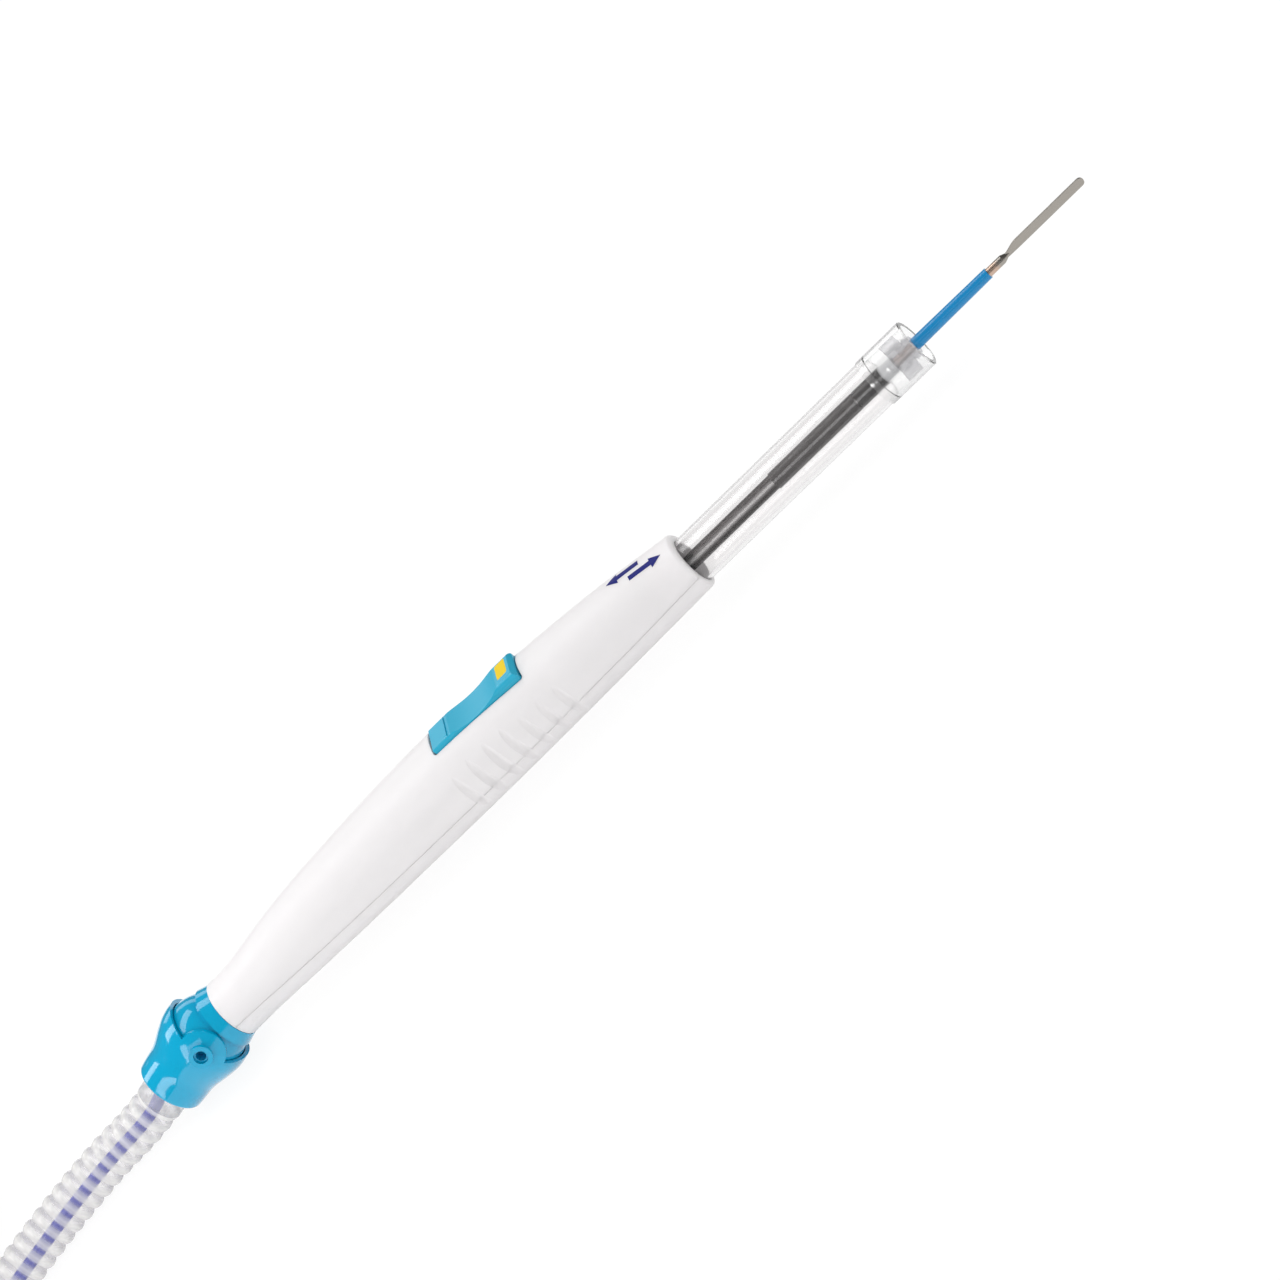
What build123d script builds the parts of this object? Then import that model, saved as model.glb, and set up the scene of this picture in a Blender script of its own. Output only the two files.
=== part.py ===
from build123d import *
import os
from math import cos, pi, radians, sin, sqrt, tan

os.makedirs("parts", exist_ok=True)

# An electrosurgical pencil with a telescopic smoke nozzle, lying on a table, in millimetres.
# +X points along the pencil to the electrode's tip, +Z up, and the table is at Z = 0.
# A place along the pencil is given from the seam between the handle and its swivel, forwards,
# and a height is given from the pencil's axis, upwards.

# Driving sizes of the handle
HANDLE_LENGTH = 174.5
HANDLE_RADIUS = 12.4
HANDLE_WALL = 1.3
# Each section's place along the handle, its radius and its centre's rise over the axis,
# as shares of the handle's length, radius and radius.
HANDLE_SECTION_SHARES = [
    (0.000, 0.714, 0.016),
    (0.097, 0.774, 0.089),
    (0.229, 0.903, 0.194),
    (0.355, 0.964, 0.250),
    (0.516, 1.000, 0.286),
    (0.688, 0.948, 0.246),
    (0.819, 0.863, 0.185),
    (0.917, 0.774, 0.113),
    (1.000, 0.685, 0.040),
]
FRONT_WALL = 9.5
MOUTH_ROUNDING = 1.0
SHELL_SEAM_WIDTH = 0.2
SHELL_SEAM_DEPTH = 0.15
# The grip's grooves on each side: shallow rings' arcs that are deepest in the middle and fade out
GROOVE_COUNT = 7
GROOVE_PITCH = 5.9
GROOVE_BACK = 15.4
GROOVE_ROUNDING = 2.6
GROOVE_DEPTH = 0.35
GROOVE_FADE = 2.2
GROOVE_MIDDLE_ANGLE = -9.0
GROOVE_SWEEP = 90.0

# Clearances, and one overrun for all cuts
RUNNING_GAP = 0.05
SEAT_GAP = 0.02
OVERRUN = 3.0

# The telescopic nozzle
NOZZLE_RADIUS = 6.65
NOZZLE_WALL = 1.0
NOZZLE_INSET = 17.5
NOZZLE_LENGTH = 96.3
NOZZLE_TRAVEL = 62.0
STOP_RADIUS = 7.1
STOP_LENGTH = 2.5
CHANNEL_GAP = 0.1
TIP_RADIUS = 6.95
TIP_LENGTH = 14.4
TIP_LAP = 2.1
TIP_ROUNDING = 0.3
NOZZLE_SEAL_INSET = 6.5
NOZZLE_SEAL_SECTION = 0.8

# The conductor in the nozzle, its places measured back from the nozzle's front
ROD_RADIUS = 2.15
ROD_BORE = 1.5
ROD_TAIL = 2.0
SLEEVE_RADIUS = 2.45
SLEEVE_BACK = 49.7
SLEEVE_END_GAP = 0.4
SOCKET_BACK = 20.4
SOCKET_LENGTH = 8.7
SOCKET_DIMPLE_RADIUS = 0.8
SOCKET_DIMPLE_DEPTH = 0.4
COLLAR_RADIUS = 2.15
COLLAR_LENGTH = 4.4
HUB_RADIUS = 3.25
HUB_WAIST_RADIUS = 2.6
HUB_RING_LENGTH = 2.5
HUB_WAIST_LENGTH = 2.4
HUB_INSET = 0.7
SPOKE_COUNT = 3
SPOKE_WIDTH = 0.9
SPOKE_LENGTH = 4.6

# The electrode
SHANK_RADIUS = 1.18
SHANK_DEPTH = 16.0
ELECTRODE_SLEEVE_RADIUS = 1.7
ELECTRODE_SLEEVE_TIP_RADIUS = 1.5
ELECTRODE_SLEEVE_REACH = 24.4
SHANK_REACH = 29.2
NECK_REACH = 30.7
NECK_RADIUS = 0.6
NECK_LAP = 0.8
BLADE_WIDTH = 2.3
BLADE_LIFT = 0.45
BLADE_THICKNESS = 0.5
BLADE_SPREAD = 4.2
BLADE_REACH = 56.5

# The rocker switch: its place is a share of the handle's length, its pads' and middle's places are
# shares of its own length, and what stands over its floor is given as shares of that height.
ROCKER_PLACE_SHARE = 0.5381
ROCKER_LENGTH = 30.2
ROCKER_WIDTH = 10.6
ROCKER_TOP_WIDTH = 6.4
ROCKER_FLOOR = 12.0
ROCKER_HEIGHT = 15.95
ROCKER_SHOULDER_SHARE = 0.5
ROCKER_DISH_SHARE = 0.39
ROCKER_FRONT_DROP_SHARE = 0.36
ROCKER_REAR_DROP_SHARE = 0.10
ROCKER_STEP_SHARE = 0.09
ROCKER_REAR_PAD_SHARE = 0.2
ROCKER_FRONT_PAD_SHARE = 0.79
ROCKER_DISH_PLACE_SHARE = 0.54
ROCKER_CROWN_SHARES = (0.75, 0.72)
ROCKER_FRONT_SLOPE = 1.0
ROCKER_STEP_WIDTH = 1.1
ROCKER_END_GAP = 0.5
ROCKER_SIDE_GAP = 0.3
ROCKER_CORNER = 0.6
ROCKER_PIVOT_HEIGHT = 11.4
ROCKER_PIVOT_RADIUS = 0.9
ROCKER_PIVOT_REACH = 6.9
ROCKER_LUG_LENGTH = 4.0
ROCKER_LUG_THICKNESS = 1.5
ROCKER_LUG_FOOT = 10.5
PIVOT_BOSS_RADIUS = 2.0
PLUNGER_RADIUS = 1.2
PLUNGER_FOOT = 11.1
PLUNGER_SPREAD = 10.0
INLAY_LENGTH = 3.6
INLAY_WIDTH = 6.2
INLAY_DEPTH = 0.5
INLAY_OFFSET = 0.8
INLAY_FRONT_MARGIN = 1.9

# The switch board and what carries it, measured from the rocker's middle back and forwards
TRAY_BACK = 33.0
TRAY_AHEAD = 24.0
TRAY_WIDTH = 16.2
TRAY_FLOOR = 7.3
TRAY_THICKNESS = 1.0
RIB_OFFSETS = (-23.0, 21.0)
RIB_THICKNESS = 2.0
RIB_CLEAR_WIDTH = 9.0
BOARD_BACK = 20.0
BOARD_AHEAD = 20.4
BOARD_WIDTH = 12.0
BOARD_THICKNESS = 1.1
DOME_RADIUS = 3.25
DOME_HEIGHT = 0.9
CLIP_BACK = 29.0
CLIP_LENGTH = 4.0
CLIP_RADIUS = 3.4
CLIP_STRIP_WIDTH = 2.4
CLIP_SLOT = 1.6

# The swivel: a knuckle that turns in the handle and a bell that tilts on the knuckle's ball
BALL_BACK = 10.75
BALL_RADIUS = 10.9
BALL_FRONT = 6.0
BALL_REAR = 7.0
KNUCKLE_FACE_GAP = 0.25
KNUCKLE_FACE_RADIUS = 8.7
COLLAR_EDGE_RADIUS = 9.75
COLLAR_EDGE_BACK = 3.75
COLLAR_GROOVE_RADIUS = 8.9
COLLAR_GROOVE_BACK = 4.2
KNUCKLE_BORE = 4.6
KNUCKLE_FLARE = 6.6
KNUCKLE_FLARE_FRONT = 2.0
SPIGOT_RADIUS = 6.0
SPIGOT_LENGTH = 7.4
SPIGOT_FLANGE_RADIUS = 7.0
SPIGOT_FLANGE_REAR = 4.1
SPIGOT_FLANGE_LENGTH = 1.8
SPIGOT_FLANGE_GAP = 0.2
SPIGOT_BLOCK = 8.0
KNUCKLE_SEAL_PLACE = 2.0
KNUCKLE_SEAL_SECTION = 0.6
PIVOT_PIN_RADIUS = 1.9
PIVOT_PIN_BORE = 1.4
PIVOT_PIN_REACH = 12.1
PIVOT_PIN_ROOT = 8.6
BELL_RADIUS = 12.3
BELL_CAVITY_GAP = 0.3
BELL_EAR_RADIUS = 6.4
BELL_LIP_RADIUS = 36.0
BELL_BOSS_RADIUS = 3.2
BELL_BOSS_HEIGHT = 0.6
BELL_BEAD_RADIUS = 1.1
BELL_BEAD_BACK = 17.6
BELL_BEAD_MEAN_RADIUS = 8.2
BELL_PASSAGE_RADIUS = 5.2
BELL_SOCKET_FLOOR = 11.0
CUFF_RADIUS = 6.7
CUFF_BORE = 5.2
CUFF_END = 24.2
CUFF_NECK_RADIUS = 6.2
SWIVEL_SPIN = 14.0
BELL_TILT = 10.5
# The bell's outer line behind its ball: distance behind the ball's centre as a share of the bead's,
# and radius as a share of the bell's.
BELL_LINE_SHARES = [(0.22, 0.963), (0.44, 0.875), (0.66, 0.792), (0.85, 0.772)]

# The smoke hose, its cable and what is on their far ends
HOSE_RADIUS = 6.5
HOSE_LIFT = 0.1
HANK_FRONT = -115.0
HANK_SIDE = 22.0
HANK_FOLD = 39.0
HANK_RUN = 222.0
HANK_LAYERS = 4
HANK_PITCH = 13.2
HANK_BASE = 0.6
HANK_LEAD = 128.0
TIE_THICKNESS = 0.5
TIE_WIDTH = 9.0
TIE_PLACE_SHARE = 0.78
CABLE_RADIUS = 1.75
ADAPTER_REAR = -240.0
ADAPTER_SIDE = -11.0
ADAPTER_NECK_RADIUS = 8.0
ADAPTER_NECK_LENGTH = 24.0
ADAPTER_CONE_LENGTH = 7.0
ADAPTER_CUP_LENGTH = 24.0
ADAPTER_RADIUS = 13.5
ADAPTER_RIB_RADIUS = 15.0
ADAPTER_RIB_WIDTH = 3.2
ADAPTER_BORE = 11.0
ADAPTER_BORE_DEPTH = 21.0
ADAPTER_PORT_PLACE = 6.0
ADAPTER_PORT_ANGLE = 35.0
ADAPTER_PORT_RADIUS = 3.2
ADAPTER_PORT_REACH = 19.0
ADAPTER_PORT_BORE = 1.95
TAIL_LEAD = 12.0
GROMMET_REACH = 3.0
GROMMET_RADIUS = 2.7
PLUG_REAR = -238.0
PLUG_SIDE = 57.0
PLUG_LENGTH = 48.0
PLUG_WIDTH = 25.0
PLUG_WAIST_WIDTH = 19.0
PLUG_HEIGHT = 16.0
PLUG_ROUNDING = 3.0
# Where the plug's body narrows to its waist and widens again, as shares of its length
PLUG_LINE_SHARES = (0.22, 0.6, 0.72)
PLUG_LEAD = 14.0
PLUG_RELIEF_LENGTH = 24.0
PLUG_RELIEF_RADIUS = 4.4
PLUG_RELIEF_TIP = 2.5
PLUG_PIN_RADIUS = 2.0
PLUG_PIN_LENGTH = 17.0
PLUG_PIN_PITCH = 9.0

# The cable inside the handle, its end measured back from the rocker's middle
HANDLE_CABLE_BACK = 43.0
CLAMP_BACK = 52.0
CLAMP_LENGTH = 6.0
CLAMP_WIDTH = 8.0
CLAMP_FLOOR = 6.2
LEAD_RADIUS = 0.45
LEAD_COUNT = 3
LEAD_PITCH = 1.0
LEAD_SPREAD_SHARE = 2.6
LEAD_MIDDLE_BACK = 33.0
LEAD_LAP = 1.6
# A cord's arcs take this share of the shorter run beside them
CORNER_SHARE = 0.45

# Places along the pencil that follow from the sizes above
rocker_rear = ROCKER_PLACE_SHARE * HANDLE_LENGTH
rocker_middle = rocker_rear + ROCKER_LENGTH / 2
rocker_front = rocker_rear + ROCKER_LENGTH
nozzle_rear = HANDLE_LENGTH - NOZZLE_INSET
nozzle_front = nozzle_rear + NOZZLE_LENGTH
nozzle_seal_place = HANDLE_LENGTH - NOZZLE_SEAL_INSET
socket_rear = nozzle_front - SOCKET_BACK
socket_front = socket_rear + SOCKET_LENGTH
collar_front = socket_front + COLLAR_LENGTH
hub_front = nozzle_front - HUB_INSET
shank_front = nozzle_front + SHANK_REACH
neck_front = nozzle_front + NECK_REACH
blade_front = nozzle_front + BLADE_REACH

# Where the pencil lies: the bell's rear bead rests on the table, and the origin is under the
# middle of the pencil's length.
down_share = sin(radians(BELL_TILT)) * cos(radians(SWIVEL_SPIN))
AXIS_Z = (
    BELL_BEAD_BACK * down_share
    + BELL_BEAD_MEAN_RADIUS * sqrt(1 - down_share**2)
    + BELL_BEAD_RADIUS
)
bell_reach = (
    BELL_BEAD_BACK * cos(radians(BELL_TILT))
    + BELL_BEAD_MEAN_RADIUS * sin(radians(BELL_TILT))
    + BELL_BEAD_RADIUS
)
SEAM_X = (BALL_BACK + bell_reach - blade_front) / 2

pencil_axis = Axis((SEAM_X, 0, AXIS_Z), (1, 0, 0))
side = Plane(origin=(SEAM_X, 0, AXIS_Z), x_dir=(1, 0, 0), z_dir=(0, -1, 0))
ball_centre = Vector(SEAM_X - BALL_BACK, 0, AXIS_Z)
pivot_way = Vector(0, -cos(radians(SWIVEL_SPIN)), sin(radians(SWIVEL_SPIN)))
bell_way = Vector(
    -cos(radians(BELL_TILT)),
    -sin(radians(BELL_TILT)) * sin(radians(SWIVEL_SPIN)),
    -down_share,
)
bell_axis = Axis(ball_centre, bell_way)
bell_side = Plane(origin=ball_centre, x_dir=bell_way, z_dir=-pivot_way)
pivot_plane = Plane(origin=ball_centre, x_dir=(1, 0, 0), z_dir=pivot_way)


def across(place, rise=0.0):
    """The plane across the pencil at a place along it, facing forwards, rise above the axis."""
    return Plane(origin=(SEAM_X + place, 0, AXIS_Z + rise), x_dir=(0, 1, 0), z_dir=(1, 0, 0))


def level(height, place=0.0, aside=0.0):
    """A level plane at a height over the axis, with its origin at a place along the pencil."""
    return Plane(origin=(SEAM_X + place, aside, AXIS_Z + height), x_dir=(1, 0, 0), z_dir=(0, 0, 1))


def finish(piece, name):
    """Labels a finished piece and writes it."""
    piece.part.label = name
    export_step(piece.part, f"parts/{name}.step")


def handle_sections(drawn_in):
    """The circles of the handle's form, each drawn in by a wall or a groove's depth."""
    sections = []
    for place_share, radius_share, rise_share in HANDLE_SECTION_SHARES:
        with BuildSketch(across(place_share * HANDLE_LENGTH, rise_share * HANDLE_RADIUS)) as one:
            Circle(radius_share * HANDLE_RADIUS - drawn_in)
        sections.append(one.sketch)
    return sections


def turned(points, plane=side):
    """A closed outline on a plane through an axis, from its corners."""
    with BuildSketch(plane) as outline:
        with BuildLine():
            Polyline(*points, close=True)
        make_face()
    return outline.sketch


def tube_outline(rear, front, inner, outer, plane=side):
    """The outline of a straight tube, to be turned about the plane's first axis."""
    return turned([(rear, inner), (front, inner), (front, outer), (rear, outer)], plane)


def routed(points, cord_name):
    """A cord's centreline: straight runs joined by arcs as large as the runs allow."""
    spots = [Vector(*p) for p in points]
    radii = []
    for before, corner, after in zip(spots, spots[1:], spots[2:]):
        turn = radians((corner - before).get_angle(after - corner))
        shorter = min((corner - before).length, (after - corner).length)
        radii.append(CORNER_SHARE * shorter / tan(turn / 2))
    print(cord_name, "radii", [round(r, 1) for r in radii])
    with BuildLine() as line:
        FilletPolyline(*spots, radius=radii)
    route = line.wires()[0]
    print(cord_name, "length", round(route.length, 1))
    return route


def cord(line, radius):
    """A cord's solid: a disc swept along its centreline."""
    start = line @ 0
    with BuildPart() as swept:
        with BuildSketch(Plane(origin=start, z_dir=line % 0)):
            Circle(radius)
        sweep(path=line)
    share = swept.part.volume / (pi * radius**2 * line.length)
    print("cord volume over section times length", round(share, 4))
    return swept


# Handle: the outer form, the cavity's form and the two shells
tray_top = TRAY_FLOOR + TRAY_THICKNESS
board_top = tray_top + BOARD_THICKNESS
channel_radius = STOP_RADIUS + CHANNEL_GAP
front_wall_rear = HANDLE_LENGTH - FRONT_WALL
seal_groove_radius = NOZZLE_RADIUS + NOZZLE_SEAL_SECTION + RUNNING_GAP
handle_span = 2 * HANDLE_RADIUS

with BuildPart() as cavity:
    loft(handle_sections(HANDLE_WALL))
    # The solid front wall and the block that holds the swivel's spigot
    with BuildSketch(across(front_wall_rear)):
        Rectangle(2 * handle_span, 2 * handle_span)
    extrude(amount=FRONT_WALL + OVERRUN, mode=Mode.SUBTRACT)
    with BuildSketch(across(SPIGOT_BLOCK)):
        Rectangle(2 * handle_span, 2 * handle_span)
    extrude(amount=-SPIGOT_BLOCK - OVERRUN, mode=Mode.SUBTRACT)
    # Ribs over the tray, open in the middle for the leads
    for offset in RIB_OFFSETS:
        with BuildSketch(across(rocker_middle + offset, tray_top)):
            with Locations((RIB_CLEAR_WIDTH / 2, 0)):
                Rectangle(HANDLE_RADIUS, HANDLE_RADIUS, align=(Align.MIN, Align.MIN))
            with Locations((-RIB_CLEAR_WIDTH / 2, 0)):
                Rectangle(HANDLE_RADIUS, HANDLE_RADIUS, align=(Align.MAX, Align.MIN))
        extrude(amount=RIB_THICKNESS, mode=Mode.SUBTRACT)
    # Bosses for the rocker's pivots
    boss_start = ROCKER_WIDTH / 2 + ROCKER_SIDE_GAP
    for way in (1, -1):
        boss_plane = Plane(
            origin=(SEAM_X + rocker_middle, way * boss_start, AXIS_Z + ROCKER_PIVOT_HEIGHT),
            x_dir=(1, 0, 0),
            z_dir=(0, way, 0),
        )
        with BuildSketch(boss_plane):
            Circle(PIVOT_BOSS_RADIUS)
        extrude(amount=HANDLE_RADIUS, mode=Mode.SUBTRACT)
    # The nozzle's channel, its mouth and the seal's groove
    revolve(
        turned(
            [
                (nozzle_rear - NOZZLE_TRAVEL - OVERRUN, 0),
                (HANDLE_LENGTH + OVERRUN, 0),
                (HANDLE_LENGTH + OVERRUN, NOZZLE_RADIUS + RUNNING_GAP),
                (nozzle_seal_place + NOZZLE_SEAL_SECTION / 2, NOZZLE_RADIUS + RUNNING_GAP),
                (nozzle_seal_place + NOZZLE_SEAL_SECTION / 2, seal_groove_radius),
                (nozzle_seal_place - NOZZLE_SEAL_SECTION / 2, seal_groove_radius),
                (nozzle_seal_place - NOZZLE_SEAL_SECTION / 2, NOZZLE_RADIUS + RUNNING_GAP),
                (front_wall_rear, NOZZLE_RADIUS + RUNNING_GAP),
                (front_wall_rear, channel_radius),
                (nozzle_rear - NOZZLE_TRAVEL - OVERRUN, channel_radius),
            ]
        ),
        axis=pencil_axis,
    )
    # The spigot's seat
    spigot_bore = SPIGOT_RADIUS + RUNNING_GAP
    pocket_radius = SPIGOT_FLANGE_RADIUS + SPIGOT_FLANGE_GAP
    pocket_rear = SPIGOT_FLANGE_REAR - SPIGOT_FLANGE_GAP
    pocket_front = SPIGOT_FLANGE_REAR + SPIGOT_FLANGE_LENGTH + SPIGOT_FLANGE_GAP
    revolve(
        turned(
            [
                (-OVERRUN, 0),
                (SPIGOT_BLOCK, 0),
                (SPIGOT_BLOCK, spigot_bore),
                (pocket_front, spigot_bore),
                (pocket_front, pocket_radius),
                (pocket_rear, pocket_radius),
                (pocket_rear, spigot_bore),
                (-OVERRUN, spigot_bore),
            ]
        ),
        axis=pencil_axis,
    )

# What is cut from the outer skin: the fine line between the shells and the grip's grooves
with BuildPart() as seam_cut:
    with BuildSketch(side):
        with Locations((HANDLE_LENGTH / 2, 0)):
            Rectangle(HANDLE_LENGTH + OVERRUN, SHELL_SEAM_WIDTH)
    extrude(amount=handle_span, both=True)
    loft(handle_sections(SHELL_SEAM_DEPTH), mode=Mode.SUBTRACT)


def handle_circle(place):
    """The handle's radius and its centre's rise at a place, between the two sections beside it."""
    wanted_share = place / HANDLE_LENGTH
    for rear_section, front_section in zip(HANDLE_SECTION_SHARES, HANDLE_SECTION_SHARES[1:]):
        if rear_section[0] <= wanted_share <= front_section[0]:
            way_share = (wanted_share - rear_section[0]) / (front_section[0] - rear_section[0])
            radius_share = rear_section[1] + way_share * (front_section[1] - rear_section[1])
            rise_share = rear_section[2] + way_share * (front_section[2] - rear_section[2])
    return radius_share * HANDLE_RADIUS, rise_share * HANDLE_RADIUS


with BuildPart() as grip_grooves:
    for number in range(GROOVE_COUNT):
        groove_place = rocker_middle - GROOVE_BACK + number * GROOVE_PITCH
        skin_radius, skin_rise = handle_circle(groove_place)
        for middle_angle in (180 - GROOVE_MIDDLE_ANGLE, GROOVE_MIDDLE_ANGLE):
            middle_turn = radians(middle_angle)
            start_turn = radians(middle_angle - GROOVE_SWEEP / 2)
            ring_centre = (
                SEAM_X + groove_place,
                -GROOVE_FADE * cos(middle_turn),
                AXIS_Z + skin_rise - GROOVE_FADE * sin(middle_turn),
            )
            ring_plane = Plane(
                origin=ring_centre, x_dir=(1, 0, 0), z_dir=(0, -sin(start_turn), cos(start_turn))
            )
            with BuildSketch(ring_plane) as groove_section:
                with Locations((0, skin_radius + GROOVE_ROUNDING - GROOVE_DEPTH + GROOVE_FADE)):
                    Circle(GROOVE_ROUNDING)
            revolve(
                groove_section.sketch, axis=Axis(ring_centre, (1, 0, 0)), revolution_arc=GROOVE_SWEEP
            )

with BuildPart() as handle_body:
    loft(handle_sections(0))
    fillet(handle_body.edges().sort_by(Axis.X)[-1], MOUTH_ROUNDING)
    add(seam_cut.part, mode=Mode.SUBTRACT)
    add(grip_grooves.part, mode=Mode.SUBTRACT)
    add(cavity.part, mode=Mode.SUBTRACT)

with BuildPart() as handle_upper_shell:
    add(handle_body.part)
    split(bisect_by=level(0), keep=Keep.TOP)
    # The rocker's window
    with BuildSketch(level(ROCKER_LUG_FOOT, rocker_middle)):
        RectangleRounded(
            ROCKER_LENGTH + 2 * ROCKER_END_GAP,
            ROCKER_WIDTH + 2 * ROCKER_SIDE_GAP,
            ROCKER_CORNER + ROCKER_SIDE_GAP,
        )
    extrude(amount=HANDLE_RADIUS, mode=Mode.SUBTRACT)
    # The rocker's pivot holes
    with BuildSketch(
        Plane(
            origin=(SEAM_X + rocker_middle, 0, AXIS_Z + ROCKER_PIVOT_HEIGHT),
            x_dir=(1, 0, 0),
            z_dir=(0, -1, 0),
        )
    ):
        Circle(ROCKER_PIVOT_RADIUS + RUNNING_GAP)
    extrude(amount=ROCKER_PIVOT_REACH + ROCKER_SIDE_GAP, both=True, mode=Mode.SUBTRACT)
finish(handle_upper_shell, "handle_upper_shell")

with BuildPart() as handle_lower_shell:
    add(handle_body.part)
    split(bisect_by=level(0), keep=Keep.BOTTOM)
finish(handle_lower_shell, "handle_lower_shell")


def seal_ring(place, mean_radius, section_radius):
    """An O-ring about the pencil's axis."""
    with BuildPart() as ring:
        with BuildSketch(side) as section:
            with Locations((place, mean_radius)):
                Circle(section_radius)
        revolve(section.sketch, axis=pencil_axis)
    return ring


nozzle_seal = seal_ring(
    nozzle_seal_place,
    NOZZLE_RADIUS + RUNNING_GAP + NOZZLE_SEAL_SECTION / 2,
    NOZZLE_SEAL_SECTION / 2,
)
finish(nozzle_seal, "nozzle_seal")

# The tray, the board and its two domes
tray_middle = rocker_middle + (TRAY_AHEAD - TRAY_BACK) / 2
board_middle = rocker_middle + (BOARD_AHEAD - BOARD_BACK) / 2
with BuildPart() as switch_tray:
    with BuildSketch(level(TRAY_FLOOR, tray_middle)):
        RectangleRounded(TRAY_AHEAD + TRAY_BACK, TRAY_WIDTH, ROCKER_CORNER)
    extrude(amount=TRAY_THICKNESS)
finish(switch_tray, "switch_tray")

with BuildPart() as switch_board:
    with BuildSketch(level(tray_top, board_middle)):
        Rectangle(BOARD_AHEAD + BOARD_BACK, BOARD_WIDTH)
    extrude(amount=BOARD_THICKNESS)
finish(switch_board, "switch_board")

dome_ball_radius = (DOME_RADIUS**2 + DOME_HEIGHT**2) / (2 * DOME_HEIGHT)
for dome_name, way in (("coag_dome", -1), ("cut_dome", 1)):
    dome_place = rocker_middle + way * PLUNGER_SPREAD
    with BuildPart() as dome:
        with BuildSketch(
            Plane(origin=(SEAM_X + dome_place, 0, AXIS_Z + board_top), x_dir=(1, 0, 0), z_dir=(0, -1, 0))
        ):
            with BuildLine():
                RadiusArc((0, DOME_HEIGHT), (DOME_RADIUS, 0), dome_ball_radius)
                Line((DOME_RADIUS, 0), (0, 0))
                Line((0, 0), (0, DOME_HEIGHT))
            make_face()
        revolve(axis=Axis((SEAM_X + dome_place, 0, 0), (0, 0, 1)))
    finish(dome, dome_name)

clip_place = rocker_middle - CLIP_BACK
with BuildPart() as contact_clip:
    with BuildSketch(across(clip_place)):
        Circle(CLIP_RADIUS)
        with Locations((0, TRAY_FLOOR / 2)):
            Rectangle(CLIP_STRIP_WIDTH, TRAY_FLOOR)
        Circle(ROD_RADIUS + RUNNING_GAP, mode=Mode.SUBTRACT)
        with Locations((0, -CLIP_RADIUS)):
            Rectangle(CLIP_SLOT, 2 * CLIP_RADIUS, mode=Mode.SUBTRACT)
    extrude(amount=CLIP_LENGTH)
finish(contact_clip, "contact_clip")

# The cable's stretch inside the handle, its clamp and its leads. Its route's places in the handle
# are shares of the way from the seam to its end, and the heights are over the axis.
cable_reach = rocker_middle - HANDLE_CABLE_BACK
handle_cable_line = routed(
    [
        (SEAM_X - BALL_BACK, 0, AXIS_Z + 2.0),
        (SEAM_X + 0.114 * cable_reach, 0, AXIS_Z + 2.15),
        (SEAM_X + 0.318 * cable_reach, 0, AXIS_Z + 6.1),
        (SEAM_X + 0.667 * cable_reach, 0, AXIS_Z + 8.0),
        (SEAM_X + cable_reach, 0, AXIS_Z + 9.2),
    ],
    "handle cable",
)
handle_cable = cord(handle_cable_line, CABLE_RADIUS)
finish(handle_cable, "handle_cable")

with BuildPart() as cable_clamp:
    with BuildSketch(across(rocker_middle - CLAMP_BACK, CLAMP_FLOOR)):
        Rectangle(CLAMP_WIDTH, HANDLE_RADIUS, align=(Align.CENTER, Align.MIN))
    extrude(amount=CLAMP_LENGTH)
    loft(handle_sections(HANDLE_WALL + SEAT_GAP), mode=Mode.INTERSECT)
    add(cord(handle_cable_line, CABLE_RADIUS + SEAT_GAP).part, mode=Mode.SUBTRACT)
finish(cable_clamp, "cable_clamp")

cable_end = handle_cable_line @ 1
with BuildPart() as internal_leads:
    for number in range(LEAD_COUNT):
        beside = (number - (LEAD_COUNT - 1) / 2) * LEAD_PITCH
        lead_line = routed(
            [
                (cable_end.X + SEAT_GAP, beside, cable_end.Z),
                (
                    SEAM_X + rocker_middle - LEAD_MIDDLE_BACK,
                    beside * (1 + LEAD_SPREAD_SHARE) / 2,
                    AXIS_Z + board_top + LEAD_RADIUS,
                ),
                (
                    SEAM_X + rocker_middle - BOARD_BACK + LEAD_LAP,
                    beside * LEAD_SPREAD_SHARE,
                    AXIS_Z + board_top + LEAD_RADIUS + SEAT_GAP,
                ),
            ],
            "lead",
        )
        add(cord(lead_line, LEAD_RADIUS).part)
finish(internal_leads, "internal_leads")

# The rocker: a crowned bar, dished between two raised pads, with its pivots and plungers
rocker_rise = ROCKER_HEIGHT - ROCKER_FLOOR
rocker_shoulder = ROCKER_FLOOR + ROCKER_SHOULDER_SHARE * rocker_rise
dish_height = ROCKER_HEIGHT - ROCKER_DISH_SHARE * rocker_rise
rear_edge_height = ROCKER_HEIGHT - ROCKER_REAR_DROP_SHARE * rocker_rise
front_edge_height = ROCKER_HEIGHT - ROCKER_FRONT_DROP_SHARE * rocker_rise
front_pad_height = (ROCKER_HEIGHT + rear_edge_height) / 2
rear_pad_end = rocker_rear + ROCKER_LENGTH * ROCKER_REAR_PAD_SHARE
front_pad_start = rocker_rear + ROCKER_LENGTH * ROCKER_FRONT_PAD_SHARE
dish_place = rocker_rear + ROCKER_LENGTH * ROCKER_DISH_PLACE_SHARE
half_width = ROCKER_WIDTH / 2
half_top = ROCKER_TOP_WIDTH / 2
crown_out = half_top + ROCKER_CROWN_SHARES[0] * (half_width - half_top)
crown_up = rocker_shoulder + ROCKER_CROWN_SHARES[1] * (ROCKER_HEIGHT - rocker_shoulder)
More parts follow.
